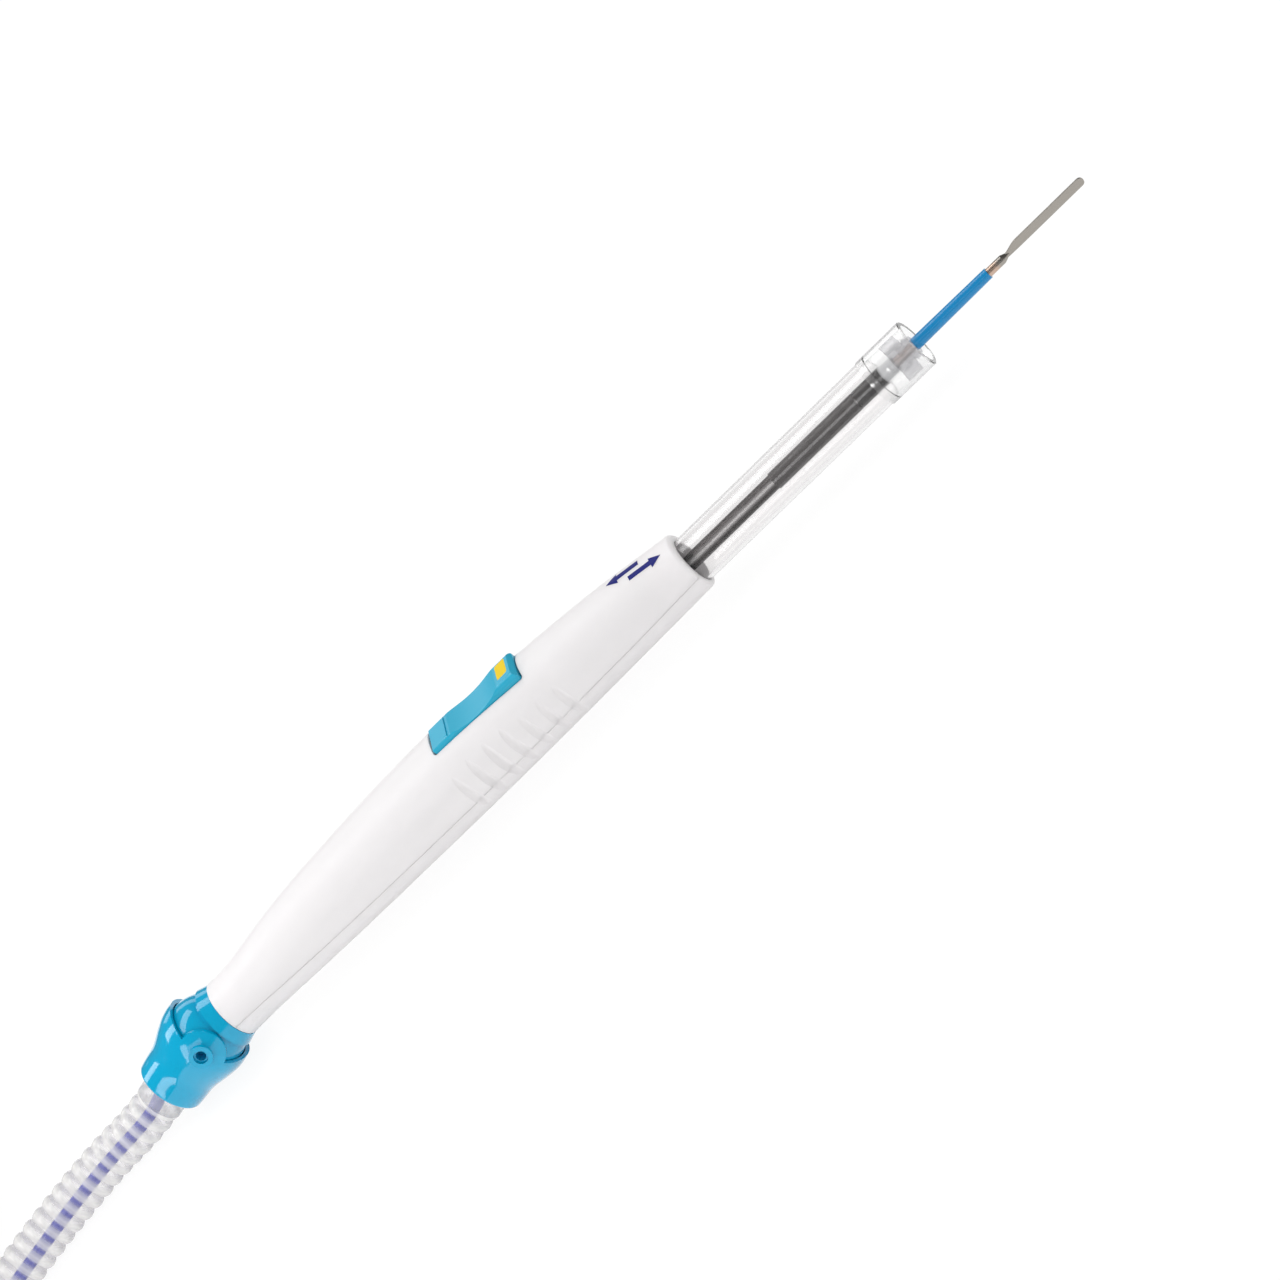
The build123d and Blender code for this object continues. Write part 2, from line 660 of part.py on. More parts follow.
rocker_side = Plane(
    origin=(SEAM_X + rocker_middle, 0, AXIS_Z + ROCKER_PIVOT_HEIGHT), x_dir=(1, 0, 0), z_dir=(0, -1, 0)
)
with BuildPart() as rocker_form:
    with BuildSketch(side):
        with BuildLine():
            Polyline(
                (rear_pad_end, ROCKER_HEIGHT),
                (rocker_rear, rear_edge_height),
                (rocker_rear, ROCKER_FLOOR),
                (rocker_front, ROCKER_FLOOR),
                (rocker_front, front_edge_height),
                (rocker_front - ROCKER_FRONT_SLOPE, ROCKER_HEIGHT),
                (front_pad_start, front_pad_height),
            )
            Spline(
                (front_pad_start, front_pad_height),
                (dish_place, dish_height),
                (rear_pad_end, ROCKER_HEIGHT),
            )
        make_face()
    extrude(amount=ROCKER_WIDTH / 2, both=True)
    fillet(rocker_form.edges().filter_by(Axis.Z), ROCKER_CORNER)
    # The crowned section
    with BuildSketch(across(rocker_rear - OVERRUN)):
        with BuildLine():
            Polyline(
                (-half_width, rocker_shoulder),
                (-half_width, ROCKER_FLOOR),
                (half_width, ROCKER_FLOOR),
                (half_width, rocker_shoulder),
            )
            ThreePointArc((half_width, rocker_shoulder), (crown_out, crown_up), (half_top, ROCKER_HEIGHT))
            Line((half_top, ROCKER_HEIGHT), (-half_top, ROCKER_HEIGHT))
            ThreePointArc((-half_top, ROCKER_HEIGHT), (-crown_out, crown_up), (-half_width, rocker_shoulder))
        make_face()
    extrude(amount=ROCKER_LENGTH + 2 * OVERRUN, mode=Mode.INTERSECT)
    # The step in front of the rear pad
    with BuildSketch(side):
        with Locations((rear_pad_end, ROCKER_HEIGHT)):
            Rectangle(ROCKER_STEP_WIDTH, 2 * ROCKER_STEP_SHARE * rocker_rise)
    extrude(amount=ROCKER_WIDTH, both=True, mode=Mode.SUBTRACT)
    # Pivots on two lugs, and the plungers over the domes
    with BuildSketch(level(ROCKER_LUG_FOOT, rocker_middle)):
        with GridLocations(0, ROCKER_WIDTH - ROCKER_LUG_THICKNESS, 1, 2):
            Rectangle(ROCKER_LUG_LENGTH, ROCKER_LUG_THICKNESS)
    extrude(amount=ROCKER_FLOOR - ROCKER_LUG_FOOT)
    with BuildSketch(rocker_side):
        Circle(ROCKER_PIVOT_RADIUS)
    extrude(amount=ROCKER_PIVOT_REACH, both=True)
    with BuildSketch(rocker_side):
        Circle(ROCKER_PIVOT_RADIUS)
    extrude(amount=half_width - ROCKER_LUG_THICKNESS, both=True, mode=Mode.SUBTRACT)
    with BuildSketch(level(PLUNGER_FOOT, rocker_middle)):
        with GridLocations(2 * PLUNGER_SPREAD, 0, 2, 1):
            Circle(PLUNGER_RADIUS)
    extrude(amount=ROCKER_FLOOR - PLUNGER_FOOT)

inlay_middle = rocker_front - INLAY_FRONT_MARGIN - INLAY_LENGTH / 2
inlay_plane = level(ROCKER_HEIGHT - INLAY_DEPTH, inlay_middle, INLAY_OFFSET)
with BuildPart() as rocker:
    add(rocker_form.part)
    with BuildSketch(inlay_plane):
        RectangleRounded(INLAY_LENGTH, INLAY_WIDTH, ROCKER_CORNER)
    extrude(amount=OVERRUN, mode=Mode.SUBTRACT)
finish(rocker, "rocker")

# The inlay fills its pocket up to the rocker's crown
with BuildPart() as rocker_inlay:
    with BuildSketch(inlay_plane):
        RectangleRounded(
            INLAY_LENGTH - 2 * SEAT_GAP, INLAY_WIDTH - 2 * SEAT_GAP, ROCKER_CORNER - SEAT_GAP
        )
    extrude(amount=OVERRUN)
    add(rocker_form.part, mode=Mode.INTERSECT)
finish(rocker_inlay, "rocker_inlay")

# The nozzle's two clear pieces
tip_rear = nozzle_front - TIP_LENGTH
tip_bore = NOZZLE_RADIUS - NOZZLE_WALL + CHANNEL_GAP
with BuildPart() as nozzle_tube:
    revolve(
        turned(
            [
                (nozzle_rear, NOZZLE_RADIUS - NOZZLE_WALL),
                (tip_rear + TIP_LAP, NOZZLE_RADIUS - NOZZLE_WALL),
                (tip_rear + TIP_LAP, NOZZLE_RADIUS),
                (nozzle_rear + STOP_LENGTH, NOZZLE_RADIUS),
                (nozzle_rear + STOP_LENGTH, STOP_RADIUS),
                (nozzle_rear, STOP_RADIUS),
            ]
        ),
        axis=pencil_axis,
    )
finish(nozzle_tube, "nozzle_tube")

with BuildPart() as nozzle_tip:
    revolve(
        turned(
            [
                (tip_rear, NOZZLE_RADIUS + SEAT_GAP),
                (tip_rear + TIP_LAP, NOZZLE_RADIUS + SEAT_GAP),
                (tip_rear + TIP_LAP, tip_bore),
                (nozzle_front, tip_bore),
                (nozzle_front, TIP_RADIUS - TIP_ROUNDING),
                (nozzle_front - TIP_ROUNDING, TIP_RADIUS),
                (tip_rear, TIP_RADIUS),
            ]
        ),
        axis=pencil_axis,
    )
finish(nozzle_tip, "nozzle_tip")

# The conductor: rod, insulating sleeve, socket, collar and the spider that centres them
shank_bore = SHANK_RADIUS + RUNNING_GAP
shank_rear = hub_front - SHANK_DEPTH
with BuildPart() as contact_rod:
    revolve(
        tube_outline(clip_place - ROD_TAIL, socket_rear, ROD_BORE, ROD_RADIUS), axis=pencil_axis
    )
finish(contact_rod, "contact_rod")

with BuildPart() as rod_sleeve:
    revolve(
        tube_outline(
            nozzle_front - SLEEVE_BACK, socket_rear - SLEEVE_END_GAP, ROD_RADIUS + SEAT_GAP, SLEEVE_RADIUS
        ),
        axis=pencil_axis,
    )
finish(rod_sleeve, "rod_sleeve")

with BuildPart() as electrode_socket:
    revolve(
        turned(
            [
                (socket_rear, 0),
                (shank_rear - RUNNING_GAP, 0),
                (shank_rear - RUNNING_GAP, shank_bore),
                (socket_front, shank_bore),
                (socket_front, SLEEVE_RADIUS),
                (socket_rear, SLEEVE_RADIUS),
            ]
        ),
        axis=pencil_axis,
    )
    # The crimp's dimple on each side
    dimple_place = (socket_rear + socket_front) / 2
    for way in (1, -1):
        dimple_plane = Plane(
            origin=(SEAM_X + dimple_place, way * SLEEVE_RADIUS, AXIS_Z), x_dir=(1, 0, 0), z_dir=(0, way, 0)
        )
        with BuildSketch(dimple_plane):
            Circle(SOCKET_DIMPLE_RADIUS)
        extrude(amount=-SOCKET_DIMPLE_DEPTH, mode=Mode.SUBTRACT)
finish(electrode_socket, "electrode_socket")

with BuildPart() as socket_collar:
    revolve(tube_outline(socket_front, collar_front, shank_bore, COLLAR_RADIUS), axis=pencil_axis)
finish(socket_collar, "socket_collar")

with BuildPart() as tip_spider:
    hub_ring_end = collar_front + HUB_RING_LENGTH
    hub_waist_end = hub_ring_end + HUB_WAIST_LENGTH
    revolve(
        turned(
            [
                (collar_front, shank_bore),
                (hub_front, shank_bore),
                (hub_front, HUB_RADIUS - NECK_RADIUS),
                (hub_waist_end, HUB_RADIUS),
                (hub_waist_end, HUB_WAIST_RADIUS),
                (hub_ring_end, HUB_WAIST_RADIUS),
                (hub_ring_end, HUB_RADIUS),
                (collar_front, HUB_RADIUS),
            ]
        ),
        axis=pencil_axis,
    )
    with BuildSketch(across(collar_front)):
        with PolarLocations(0, SPOKE_COUNT, start_angle=90):
            with Locations((HUB_WAIST_RADIUS - SPOKE_WIDTH / 2, 0)):
                Rectangle(
                    tip_bore - HUB_WAIST_RADIUS + SPOKE_WIDTH / 2,
                    SPOKE_WIDTH,
                    align=(Align.MIN, Align.CENTER),
                )
        Circle(tip_bore - SEAT_GAP, mode=Mode.INTERSECT)
    extrude(amount=SPOKE_LENGTH)
finish(tip_spider, "tip_spider")

# The electrode: a round shank, a narrow neck and a flat blade in one piece, and its insulation
with BuildPart() as electrode_blade:
    revolve(
        turned(
            [
                (shank_rear, 0),
                (neck_front + NECK_LAP, 0),
                (neck_front + NECK_LAP, BLADE_THICKNESS / 2),
                (neck_front, NECK_RADIUS),
                (shank_front, SHANK_RADIUS),
                (shank_rear, SHANK_RADIUS),
            ]
        ),
        axis=pencil_axis,
    )
    blade_top = BLADE_LIFT + BLADE_WIDTH / 2
    blade_foot = BLADE_LIFT - BLADE_WIDTH / 2
    tip_round = blade_front - BLADE_WIDTH / 2
    with BuildSketch(side):
        with BuildLine():
            top = Spline(
                (neck_front - NECK_LAP, NECK_RADIUS),
                (neck_front + BLADE_SPREAD, blade_top),
                tangents=((1, 0), (1, 0)),
            )
            Line(top @ 1, (tip_round, blade_top))
            ThreePointArc((tip_round, blade_top), (blade_front, BLADE_LIFT), (tip_round, blade_foot))
            Line((tip_round, blade_foot), (neck_front + BLADE_SPREAD, blade_foot))
            bottom = Spline(
                (neck_front + BLADE_SPREAD, blade_foot),
                (neck_front - NECK_LAP, -NECK_RADIUS),
                tangents=((-1, 0), (-1, 0)),
            )
            Line(bottom @ 1, top @ 0)
        make_face()
    extrude(amount=BLADE_THICKNESS / 2, both=True)
finish(electrode_blade, "electrode_blade")

with BuildPart() as electrode_sleeve:
    sleeve_front = nozzle_front + ELECTRODE_SLEEVE_REACH
    revolve(
        turned(
            [
                (hub_front + RUNNING_GAP, SHANK_RADIUS + SEAT_GAP),
                (sleeve_front, SHANK_RADIUS + SEAT_GAP),
                (sleeve_front, ELECTRODE_SLEEVE_TIP_RADIUS),
                (hub_front + RUNNING_GAP, ELECTRODE_SLEEVE_RADIUS),
            ]
        ),
        axis=pencil_axis,
    )
finish(electrode_sleeve, "electrode_sleeve")

# The swivel's knuckle: a spigot with a snap flange, a collar and a hollow ball with two pivot pins
ball_front_radius = sqrt(BALL_RADIUS**2 - BALL_FRONT**2)
ball_rear_radius = sqrt(BALL_RADIUS**2 - BALL_REAR**2)
seal_half = KNUCKLE_SEAL_SECTION / 2
seal_floor = SPIGOT_RADIUS - KNUCKLE_SEAL_SECTION
with BuildPart() as swivel_knuckle:
    with BuildSketch(side):
        with BuildLine():
            Polyline(
                (BALL_FRONT - BALL_BACK, ball_front_radius),
                (-COLLAR_GROOVE_BACK, COLLAR_GROOVE_RADIUS),
                (-COLLAR_EDGE_BACK, COLLAR_EDGE_RADIUS),
                (-KNUCKLE_FACE_GAP, KNUCKLE_FACE_RADIUS),
                (-KNUCKLE_FACE_GAP, SPIGOT_RADIUS),
                (KNUCKLE_SEAL_PLACE - seal_half, SPIGOT_RADIUS),
                (KNUCKLE_SEAL_PLACE - seal_half, seal_floor),
                (KNUCKLE_SEAL_PLACE + seal_half, seal_floor),
                (KNUCKLE_SEAL_PLACE + seal_half, SPIGOT_RADIUS),
                (SPIGOT_FLANGE_REAR, SPIGOT_RADIUS),
                (SPIGOT_FLANGE_REAR, SPIGOT_FLANGE_RADIUS),
                (SPIGOT_FLANGE_REAR + SPIGOT_FLANGE_LENGTH, SPIGOT_FLANGE_RADIUS),
                (SPIGOT_FLANGE_REAR + SPIGOT_FLANGE_LENGTH, SPIGOT_RADIUS),
                (SPIGOT_LENGTH, SPIGOT_RADIUS),
                (SPIGOT_LENGTH, KNUCKLE_BORE),
                (-BALL_BACK - KNUCKLE_FLARE_FRONT, KNUCKLE_BORE),
                (-BALL_BACK - BALL_REAR, KNUCKLE_FLARE),
                (-BALL_BACK - BALL_REAR, ball_rear_radius),
            )
            ThreePointArc(
                (-BALL_BACK - BALL_REAR, ball_rear_radius),
                (-BALL_BACK, BALL_RADIUS),
                (BALL_FRONT - BALL_BACK, ball_front_radius),
            )
        make_face()
    revolve(axis=pencil_axis)
    for way in (1, -1):
        with BuildSketch(pivot_plane.offset(way * PIVOT_PIN_ROOT)):
            Circle(PIVOT_PIN_RADIUS)
        extrude(amount=way * (PIVOT_PIN_REACH - PIVOT_PIN_ROOT))
        with BuildSketch(pivot_plane.offset(way * PIVOT_PIN_ROOT)):
            Circle(PIVOT_PIN_BORE)
        extrude(amount=way * BALL_RADIUS, mode=Mode.SUBTRACT)
finish(swivel_knuckle, "swivel_knuckle")

knuckle_seal = seal_ring(KNUCKLE_SEAL_PLACE, seal_floor + seal_half + SEAT_GAP, seal_half)
finish(knuckle_seal, "knuckle_seal")

# The bell, turned about its own tilted axis, with two ears over the knuckle's pins
cavity_radius = BALL_RADIUS + BELL_CAVITY_GAP
socket_radius = CUFF_RADIUS + RUNNING_GAP
bead_end = BELL_BEAD_BACK + BELL_BEAD_RADIUS
bead_top = BELL_BEAD_MEAN_RADIUS + BELL_BEAD_RADIUS
passage_front = sqrt(cavity_radius**2 - BELL_PASSAGE_RADIUS**2)
bead_half = BELL_BEAD_RADIUS * sqrt(0.5)
with BuildPart() as swivel_bell:
    with BuildSketch(bell_side):
        with BuildLine():
            outer_front = (-BELL_EAR_RADIUS, sqrt(BELL_RADIUS**2 - BELL_EAR_RADIUS**2))
            inner_front = (-BELL_EAR_RADIUS, sqrt(cavity_radius**2 - BELL_EAR_RADIUS**2))
            line_points = [(s * BELL_BEAD_BACK, r * BELL_RADIUS) for s, r in BELL_LINE_SHARES]
            ThreePointArc(outer_front, (0, BELL_RADIUS), line_points[0])
            Spline(*line_points, (BELL_BEAD_BACK, bead_top))
            ThreePointArc(
                (BELL_BEAD_BACK, bead_top),
                (BELL_BEAD_BACK + bead_half, BELL_BEAD_MEAN_RADIUS + bead_half),
                (bead_end, BELL_BEAD_MEAN_RADIUS),
            )
            Polyline(
                (bead_end, BELL_BEAD_MEAN_RADIUS),
                (bead_end, socket_radius),
                (BELL_SOCKET_FLOOR, socket_radius),
                (BELL_SOCKET_FLOOR, BELL_PASSAGE_RADIUS),
                (passage_front, BELL_PASSAGE_RADIUS),
            )
            ThreePointArc((passage_front, BELL_PASSAGE_RADIUS), (0, cavity_radius), inner_front)
            Line(inner_front, outer_front)
        make_face()
    revolve(axis=bell_axis)
    # The mouth, cut back between the ears
    with BuildSketch(bell_side):
        with Locations((-BELL_LIP_RADIUS, 0)):
            Circle(BELL_LIP_RADIUS)
        Circle(BELL_EAR_RADIUS, mode=Mode.SUBTRACT)
    extrude(amount=BELL_RADIUS + OVERRUN, both=True, mode=Mode.SUBTRACT)
    # The pivot's bosses and holes
    for way in (1, -1):
        with BuildSketch(pivot_plane.offset(way * (BELL_RADIUS + BELL_BOSS_HEIGHT))):
            Circle(BELL_BOSS_RADIUS)
        extrude(amount=-way * (BELL_BOSS_HEIGHT + 2 * BELL_CAVITY_GAP))
        with BuildSketch(pivot_plane.offset(way * PIVOT_PIN_ROOT)):
            Circle(PIVOT_PIN_RADIUS + RUNNING_GAP)
        extrude(amount=way * (BELL_RADIUS - PIVOT_PIN_ROOT + OVERRUN), mode=Mode.SUBTRACT)
finish(swivel_bell, "swivel_bell")

with BuildPart() as hose_cuff:
    revolve(
        turned(
            [
                (BELL_SOCKET_FLOOR, CUFF_BORE),
                (CUFF_END, CUFF_BORE),
                (CUFF_END, HOSE_RADIUS),
                (CUFF_END - 2 * BELL_BEAD_RADIUS, HOSE_RADIUS),
                (bead_end + BELL_BEAD_RADIUS, CUFF_NECK_RADIUS),
                (bead_end, CUFF_NECK_RADIUS),
                (bead_end, CUFF_RADIUS),
                (BELL_SOCKET_FLOOR, CUFF_RADIUS),
            ],
            bell_side,
        ),
        axis=bell_axis,
    )
finish(hose_cuff, "hose_cuff")

# The hose from its cuff to the hank, on the table: straight out of the cuff, then in a loose curve
table_z = HOSE_RADIUS + HOSE_LIFT
hose_start = ball_centre + bell_way * CUFF_END
touch_down = hose_start + bell_way * ((hose_start.Z - table_z) / down_share)
hank_near_side = HANK_SIDE - HANK_FOLD
hose_line = routed(
    [
        tuple(hose_start),
        tuple(touch_down),
        (SEAM_X - 58.0, -1.6, table_z),
        (SEAM_X - 80.0, -6.7, table_z),
        (SEAM_X - 101.0, -13.6, table_z),
        (SEAM_X - 116.0, hank_near_side, table_z),
        (SEAM_X - HANK_LEAD, hank_near_side, table_z),
    ],
    "hose",
)
smoke_hose = cord(hose_line, HOSE_RADIUS)
finish(smoke_hose, "smoke_hose")

# The hank: turns folded to a long ring, layer on layer, on the near side of which the hose comes in
hose_width = 2 * HOSE_RADIUS
hank_height = hose_width + (HANK_LAYERS - 1) * HANK_PITCH
hank_top = HANK_BASE + hank_height
hank_middle = HANK_FRONT - HANK_FOLD - HOSE_RADIUS - HANK_RUN / 2
fold_front = hank_middle + HANK_RUN / 2
with BuildPart() as smoke_hose_hank:
    with BuildSketch(Plane(origin=(SEAM_X + hank_middle, HANK_SIDE, HANK_BASE))):
        SlotCenterToCenter(HANK_RUN, 2 * HANK_FOLD + hose_width)
        SlotCenterToCenter(HANK_RUN, 2 * HANK_FOLD - hose_width, mode=Mode.SUBTRACT)
    extrude(amount=hank_height)
    with BuildSketch(Plane(origin=(SEAM_X - HANK_LEAD, hank_near_side, HANK_BASE))):
        Rectangle(
            -fold_front - HANK_LEAD, hose_width, align=(Align.MAX, Align.CENTER)
        )
    extrude(amount=hose_width + HOSE_LIFT - HANK_BASE)
finish(smoke_hose_hank, "smoke_hose_hank")

with BuildPart() as hank_ties:
    for tie_side in (HANK_SIDE - HANK_FOLD, HANK_SIDE + HANK_FOLD):
        tie_place = SEAM_X + hank_middle - HANK_RUN * (TIE_PLACE_SHARE - 0.5) - TIE_WIDTH / 2
        with BuildSketch(
            Plane(
                origin=(tie_place, tie_side, HANK_BASE + hank_height / 2),
                x_dir=(0, 1, 0),
                z_dir=(1, 0, 0),
            )
        ):
            Rectangle(hose_width + 2 * TIE_THICKNESS, hank_height + 2 * TIE_THICKNESS)
            Rectangle(hose_width, hank_height, mode=Mode.SUBTRACT)
        extrude(amount=TIE_WIDTH)
finish(hank_ties, "hank_ties")

# The hose's last stretch on top of the hank, and the adapter on its end
adapter_z = hank_top + ADAPTER_RIB_RADIUS
hose_end_z = hank_top + HOSE_RADIUS + HOSE_LIFT
hose_end_line = routed(
    [
        (SEAM_X - 158.0, hank_near_side, hose_end_z),
        (SEAM_X - 184.0, -16.2, hose_end_z),
        (SEAM_X - 214.0, ADAPTER_SIDE, adapter_z),
        (SEAM_X + ADAPTER_REAR, ADAPTER_SIDE, adapter_z),
    ],
    "hose end",
)
smoke_hose_end = cord(hose_end_line, HOSE_RADIUS)
finish(smoke_hose_end, "smoke_hose_end")

# The adapter is a stepped tube with a wide cup, two grip ribs on it on which it lies, and a side
# port that lets the cable out
adapter_side = Plane(
    origin=(SEAM_X + ADAPTER_REAR, ADAPTER_SIDE, adapter_z), x_dir=(-1, 0, 0), z_dir=(0, 1, 0)
)
adapter_axis = Axis((SEAM_X + ADAPTER_REAR, ADAPTER_SIDE, adapter_z), (-1, 0, 0))
cup_start = ADAPTER_NECK_LENGTH + ADAPTER_CONE_LENGTH
adapter_length = cup_start + ADAPTER_CUP_LENGTH
port_way = Vector(-cos(radians(ADAPTER_PORT_ANGLE)), -sin(radians(ADAPTER_PORT_ANGLE)), 0)
port_start = Vector(SEAM_X + ADAPTER_REAR - ADAPTER_PORT_PLACE, ADAPTER_SIDE, adapter_z)
port_plane = Plane(origin=port_start, z_dir=port_way)
adapter_bore_floor = adapter_length - ADAPTER_BORE_DEPTH
adapter_hollow = turned(
    [
        (-OVERRUN, 0),
        (adapter_length + OVERRUN, 0),
        (adapter_length + OVERRUN, ADAPTER_BORE),
        (adapter_bore_floor, ADAPTER_BORE),
        (ADAPTER_NECK_LENGTH, CUFF_BORE),
        (-OVERRUN, CUFF_BORE),
    ],
    adapter_side,
)
with BuildPart() as hose_adapter:
    revolve(
        turned(
            [
                (0, 0),
                (adapter_length, 0),
                (adapter_length, ADAPTER_RIB_RADIUS),
                (adapter_length - ADAPTER_RIB_WIDTH, ADAPTER_RIB_RADIUS),
                (adapter_length - ADAPTER_RIB_WIDTH, ADAPTER_RADIUS),
                (cup_start + ADAPTER_RIB_WIDTH, ADAPTER_RADIUS),
                (cup_start + ADAPTER_RIB_WIDTH, ADAPTER_RIB_RADIUS),
                (cup_start, ADAPTER_RIB_RADIUS),
                (ADAPTER_NECK_LENGTH, ADAPTER_NECK_RADIUS),
                (0, ADAPTER_NECK_RADIUS),
            ],
            adapter_side,
        ),
        axis=adapter_axis,
    )
    with BuildSketch(port_plane):
        Circle(ADAPTER_PORT_RADIUS)
    extrude(amount=ADAPTER_PORT_REACH)
    with BuildSketch(port_plane):
        Circle(ADAPTER_PORT_BORE)
    extrude(amount=ADAPTER_PORT_REACH, mode=Mode.SUBTRACT)
    revolve(adapter_hollow, axis=adapter_axis, mode=Mode.SUBTRACT)
finish(hose_adapter, "hose_adapter")

with BuildPart() as cable_grommet:
    with BuildSketch(port_plane.offset(ADAPTER_PORT_REACH)):
        Circle(GROMMET_RADIUS)
    extrude(amount=GROMMET_REACH)
finish(cable_grommet, "cable_grommet")

# The cable's free tail: out of the grommet, round the hank's far fold on top of it, to the plug
tail_start = port_start + port_way * (ADAPTER_PORT_REACH + GROMMET_REACH)
tail_z = hank_top + CABLE_RADIUS + SEAT_GAP
plug_z = hank_top + PLUG_HEIGHT / 2
tail_leave = tail_start + port_way * TAIL_LEAD
cable_line = routed(
    [
        tuple(tail_start),
        tuple(tail_leave),
        (SEAM_X - 292.0, -29.5, adapter_z - 4.5),
        (SEAM_X - 310.0, -24.5, tail_z + 3.5),
        (SEAM_X - 332.0, -19.5, tail_z + 0.7),
        (SEAM_X - 362.0, -18.0, tail_z),
        (SEAM_X - 391.0, -13.0, tail_z + 0.05),
        (SEAM_X - 411.5, 1.5, tail_z),
        (SEAM_X - 419.0, 24.0, tail_z + 0.05),
        (SEAM_X - 410.5, 47.0, tail_z),
        (SEAM_X - 388.0, 59.5, tail_z + 0.05),
        (SEAM_X - 358.0, 61.5, tail_z),
        (SEAM_X - 328.0, 59.5, tail_z + 1.0),
        (SEAM_X - 298.0, PLUG_SIDE, plug_z - 1.5),
        (SEAM_X + PLUG_REAR - PLUG_RELIEF_LENGTH - PLUG_LEAD, PLUG_SIDE, plug_z),
        (SEAM_X + PLUG_REAR - PLUG_RELIEF_LENGTH, PLUG_SIDE, plug_z),
    ],
    "cable tail",
)
cable_tail = cord(cable_line, CABLE_RADIUS)
finish(cable_tail, "cable_tail")

# The plug: a tapered relief, a waisted body and three pins
plug_side = Plane(origin=(SEAM_X + PLUG_REAR, PLUG_SIDE, plug_z), x_dir=(1, 0, 0), z_dir=(0, -1, 0))
plug_axis = Axis((SEAM_X + PLUG_REAR, PLUG_SIDE, plug_z), (1, 0, 0))
with BuildPart() as plug_relief:
    revolve(
        turned(
            [
                (-PLUG_RELIEF_LENGTH, 0),
                (0, 0),
                (0, PLUG_RELIEF_RADIUS),
                (-PLUG_RELIEF_LENGTH, PLUG_RELIEF_TIP),
            ],
            plug_side,
        ),
        axis=plug_axis,
    )
finish(plug_relief, "plug_relief")

waist_start, waist_end, wide_start = [share * PLUG_LENGTH for share in PLUG_LINE_SHARES]
with BuildPart() as plug_body:
    with BuildSketch(Plane(origin=(SEAM_X + PLUG_REAR, PLUG_SIDE, plug_z - PLUG_HEIGHT / 2))):
        with BuildLine():
            Polyline(
                (0, -PLUG_RELIEF_RADIUS - PLUG_ROUNDING),
                (0, PLUG_RELIEF_RADIUS + PLUG_ROUNDING),
                (waist_start, PLUG_WAIST_WIDTH / 2),
                (waist_end, PLUG_WAIST_WIDTH / 2),
                (wide_start, PLUG_WIDTH / 2),
                (PLUG_LENGTH, PLUG_WIDTH / 2),
                (PLUG_LENGTH, -PLUG_WIDTH / 2),
                (wide_start, -PLUG_WIDTH / 2),
                (waist_end, -PLUG_WAIST_WIDTH / 2),
                (waist_start, -PLUG_WAIST_WIDTH / 2),
                close=True,
            )
        make_face()
    extrude(amount=PLUG_HEIGHT)
    fillet(plug_body.edges().filter_by(Axis.Z), PLUG_ROUNDING / 2)
    fillet(plug_body.faces().sort_by(Axis.Z)[-1].edges(), PLUG_ROUNDING / 2)
finish(plug_body, "plug_body")

with BuildPart() as plug_pins:
    for number in (-1, 0, 1):
        with BuildSketch(
            Plane(
                origin=(SEAM_X + PLUG_REAR + PLUG_LENGTH, PLUG_SIDE + number * PLUG_PIN_PITCH, plug_z),
                x_dir=(0, 1, 0),
                z_dir=(1, 0, 0),
            )
        ):
            Circle(PLUG_PIN_RADIUS)
        extrude(amount=PLUG_PIN_LENGTH)
    fillet(plug_pins.faces().group_by(Axis.X)[-1].edges(), PLUG_PIN_RADIUS / 2)
finish(plug_pins, "plug_pins")

print("seam", round(SEAM_X, 3), "axis height", round(AXIS_Z, 3), "rocker's middle", round(rocker_middle, 3))
print("adapter", round(SEAM_X + ADAPTER_REAR, 3), round(adapter_z, 3), "plug", round(plug_z, 3))
print("hose start", [round(c, 2) for c in hose_start], "touch down", [round(c, 2) for c in touch_down])
print("hose route", [tuple(round(c, 2) for c in hose_line @ 0)], "hank top", hank_top)
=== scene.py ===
# %% [markdown]
# # An electrosurgical pencil with a telescopic smoke nozzle
# The real thing is a white hand-held pencil with a clear nozzle, a blade electrode, a cyan swivel and
# a clear corrugated hose with a cable inside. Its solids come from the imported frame. This lesson
# adds what a solid model leaves out: the hose's rings, the cable in it, two small steel balls, the
# printed arrows, and every finish.

from math import cos, pi, radians, sin

import bmesh
import bpy
from mathutils import Matrix, Vector
from mathutils.bvhtree import BVHTree


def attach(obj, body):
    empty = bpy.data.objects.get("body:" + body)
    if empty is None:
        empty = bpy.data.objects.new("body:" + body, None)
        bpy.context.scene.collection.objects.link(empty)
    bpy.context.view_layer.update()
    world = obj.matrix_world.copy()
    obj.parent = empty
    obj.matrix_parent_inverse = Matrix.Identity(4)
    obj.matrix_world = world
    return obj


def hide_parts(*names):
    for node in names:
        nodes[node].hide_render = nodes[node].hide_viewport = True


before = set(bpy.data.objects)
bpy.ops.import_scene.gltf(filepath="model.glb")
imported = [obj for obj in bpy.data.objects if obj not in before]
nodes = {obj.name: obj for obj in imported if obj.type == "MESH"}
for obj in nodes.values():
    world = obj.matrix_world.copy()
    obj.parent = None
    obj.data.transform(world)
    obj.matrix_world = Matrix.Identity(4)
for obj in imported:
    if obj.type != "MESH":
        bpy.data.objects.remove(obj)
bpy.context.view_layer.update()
MM = 0.001

# %% [markdown]
# ## Places on the pencil
# Every place is easiest to think of along the pencil: so many millimetres in front of the seam
# between the handle and its swivel, so many aside, and so many above the table. One small function
# turns that to the frame's metres, so the numbers stay readable. Only the camera's reach, the floor
# and the lamps are given in metres, because they stand far off.

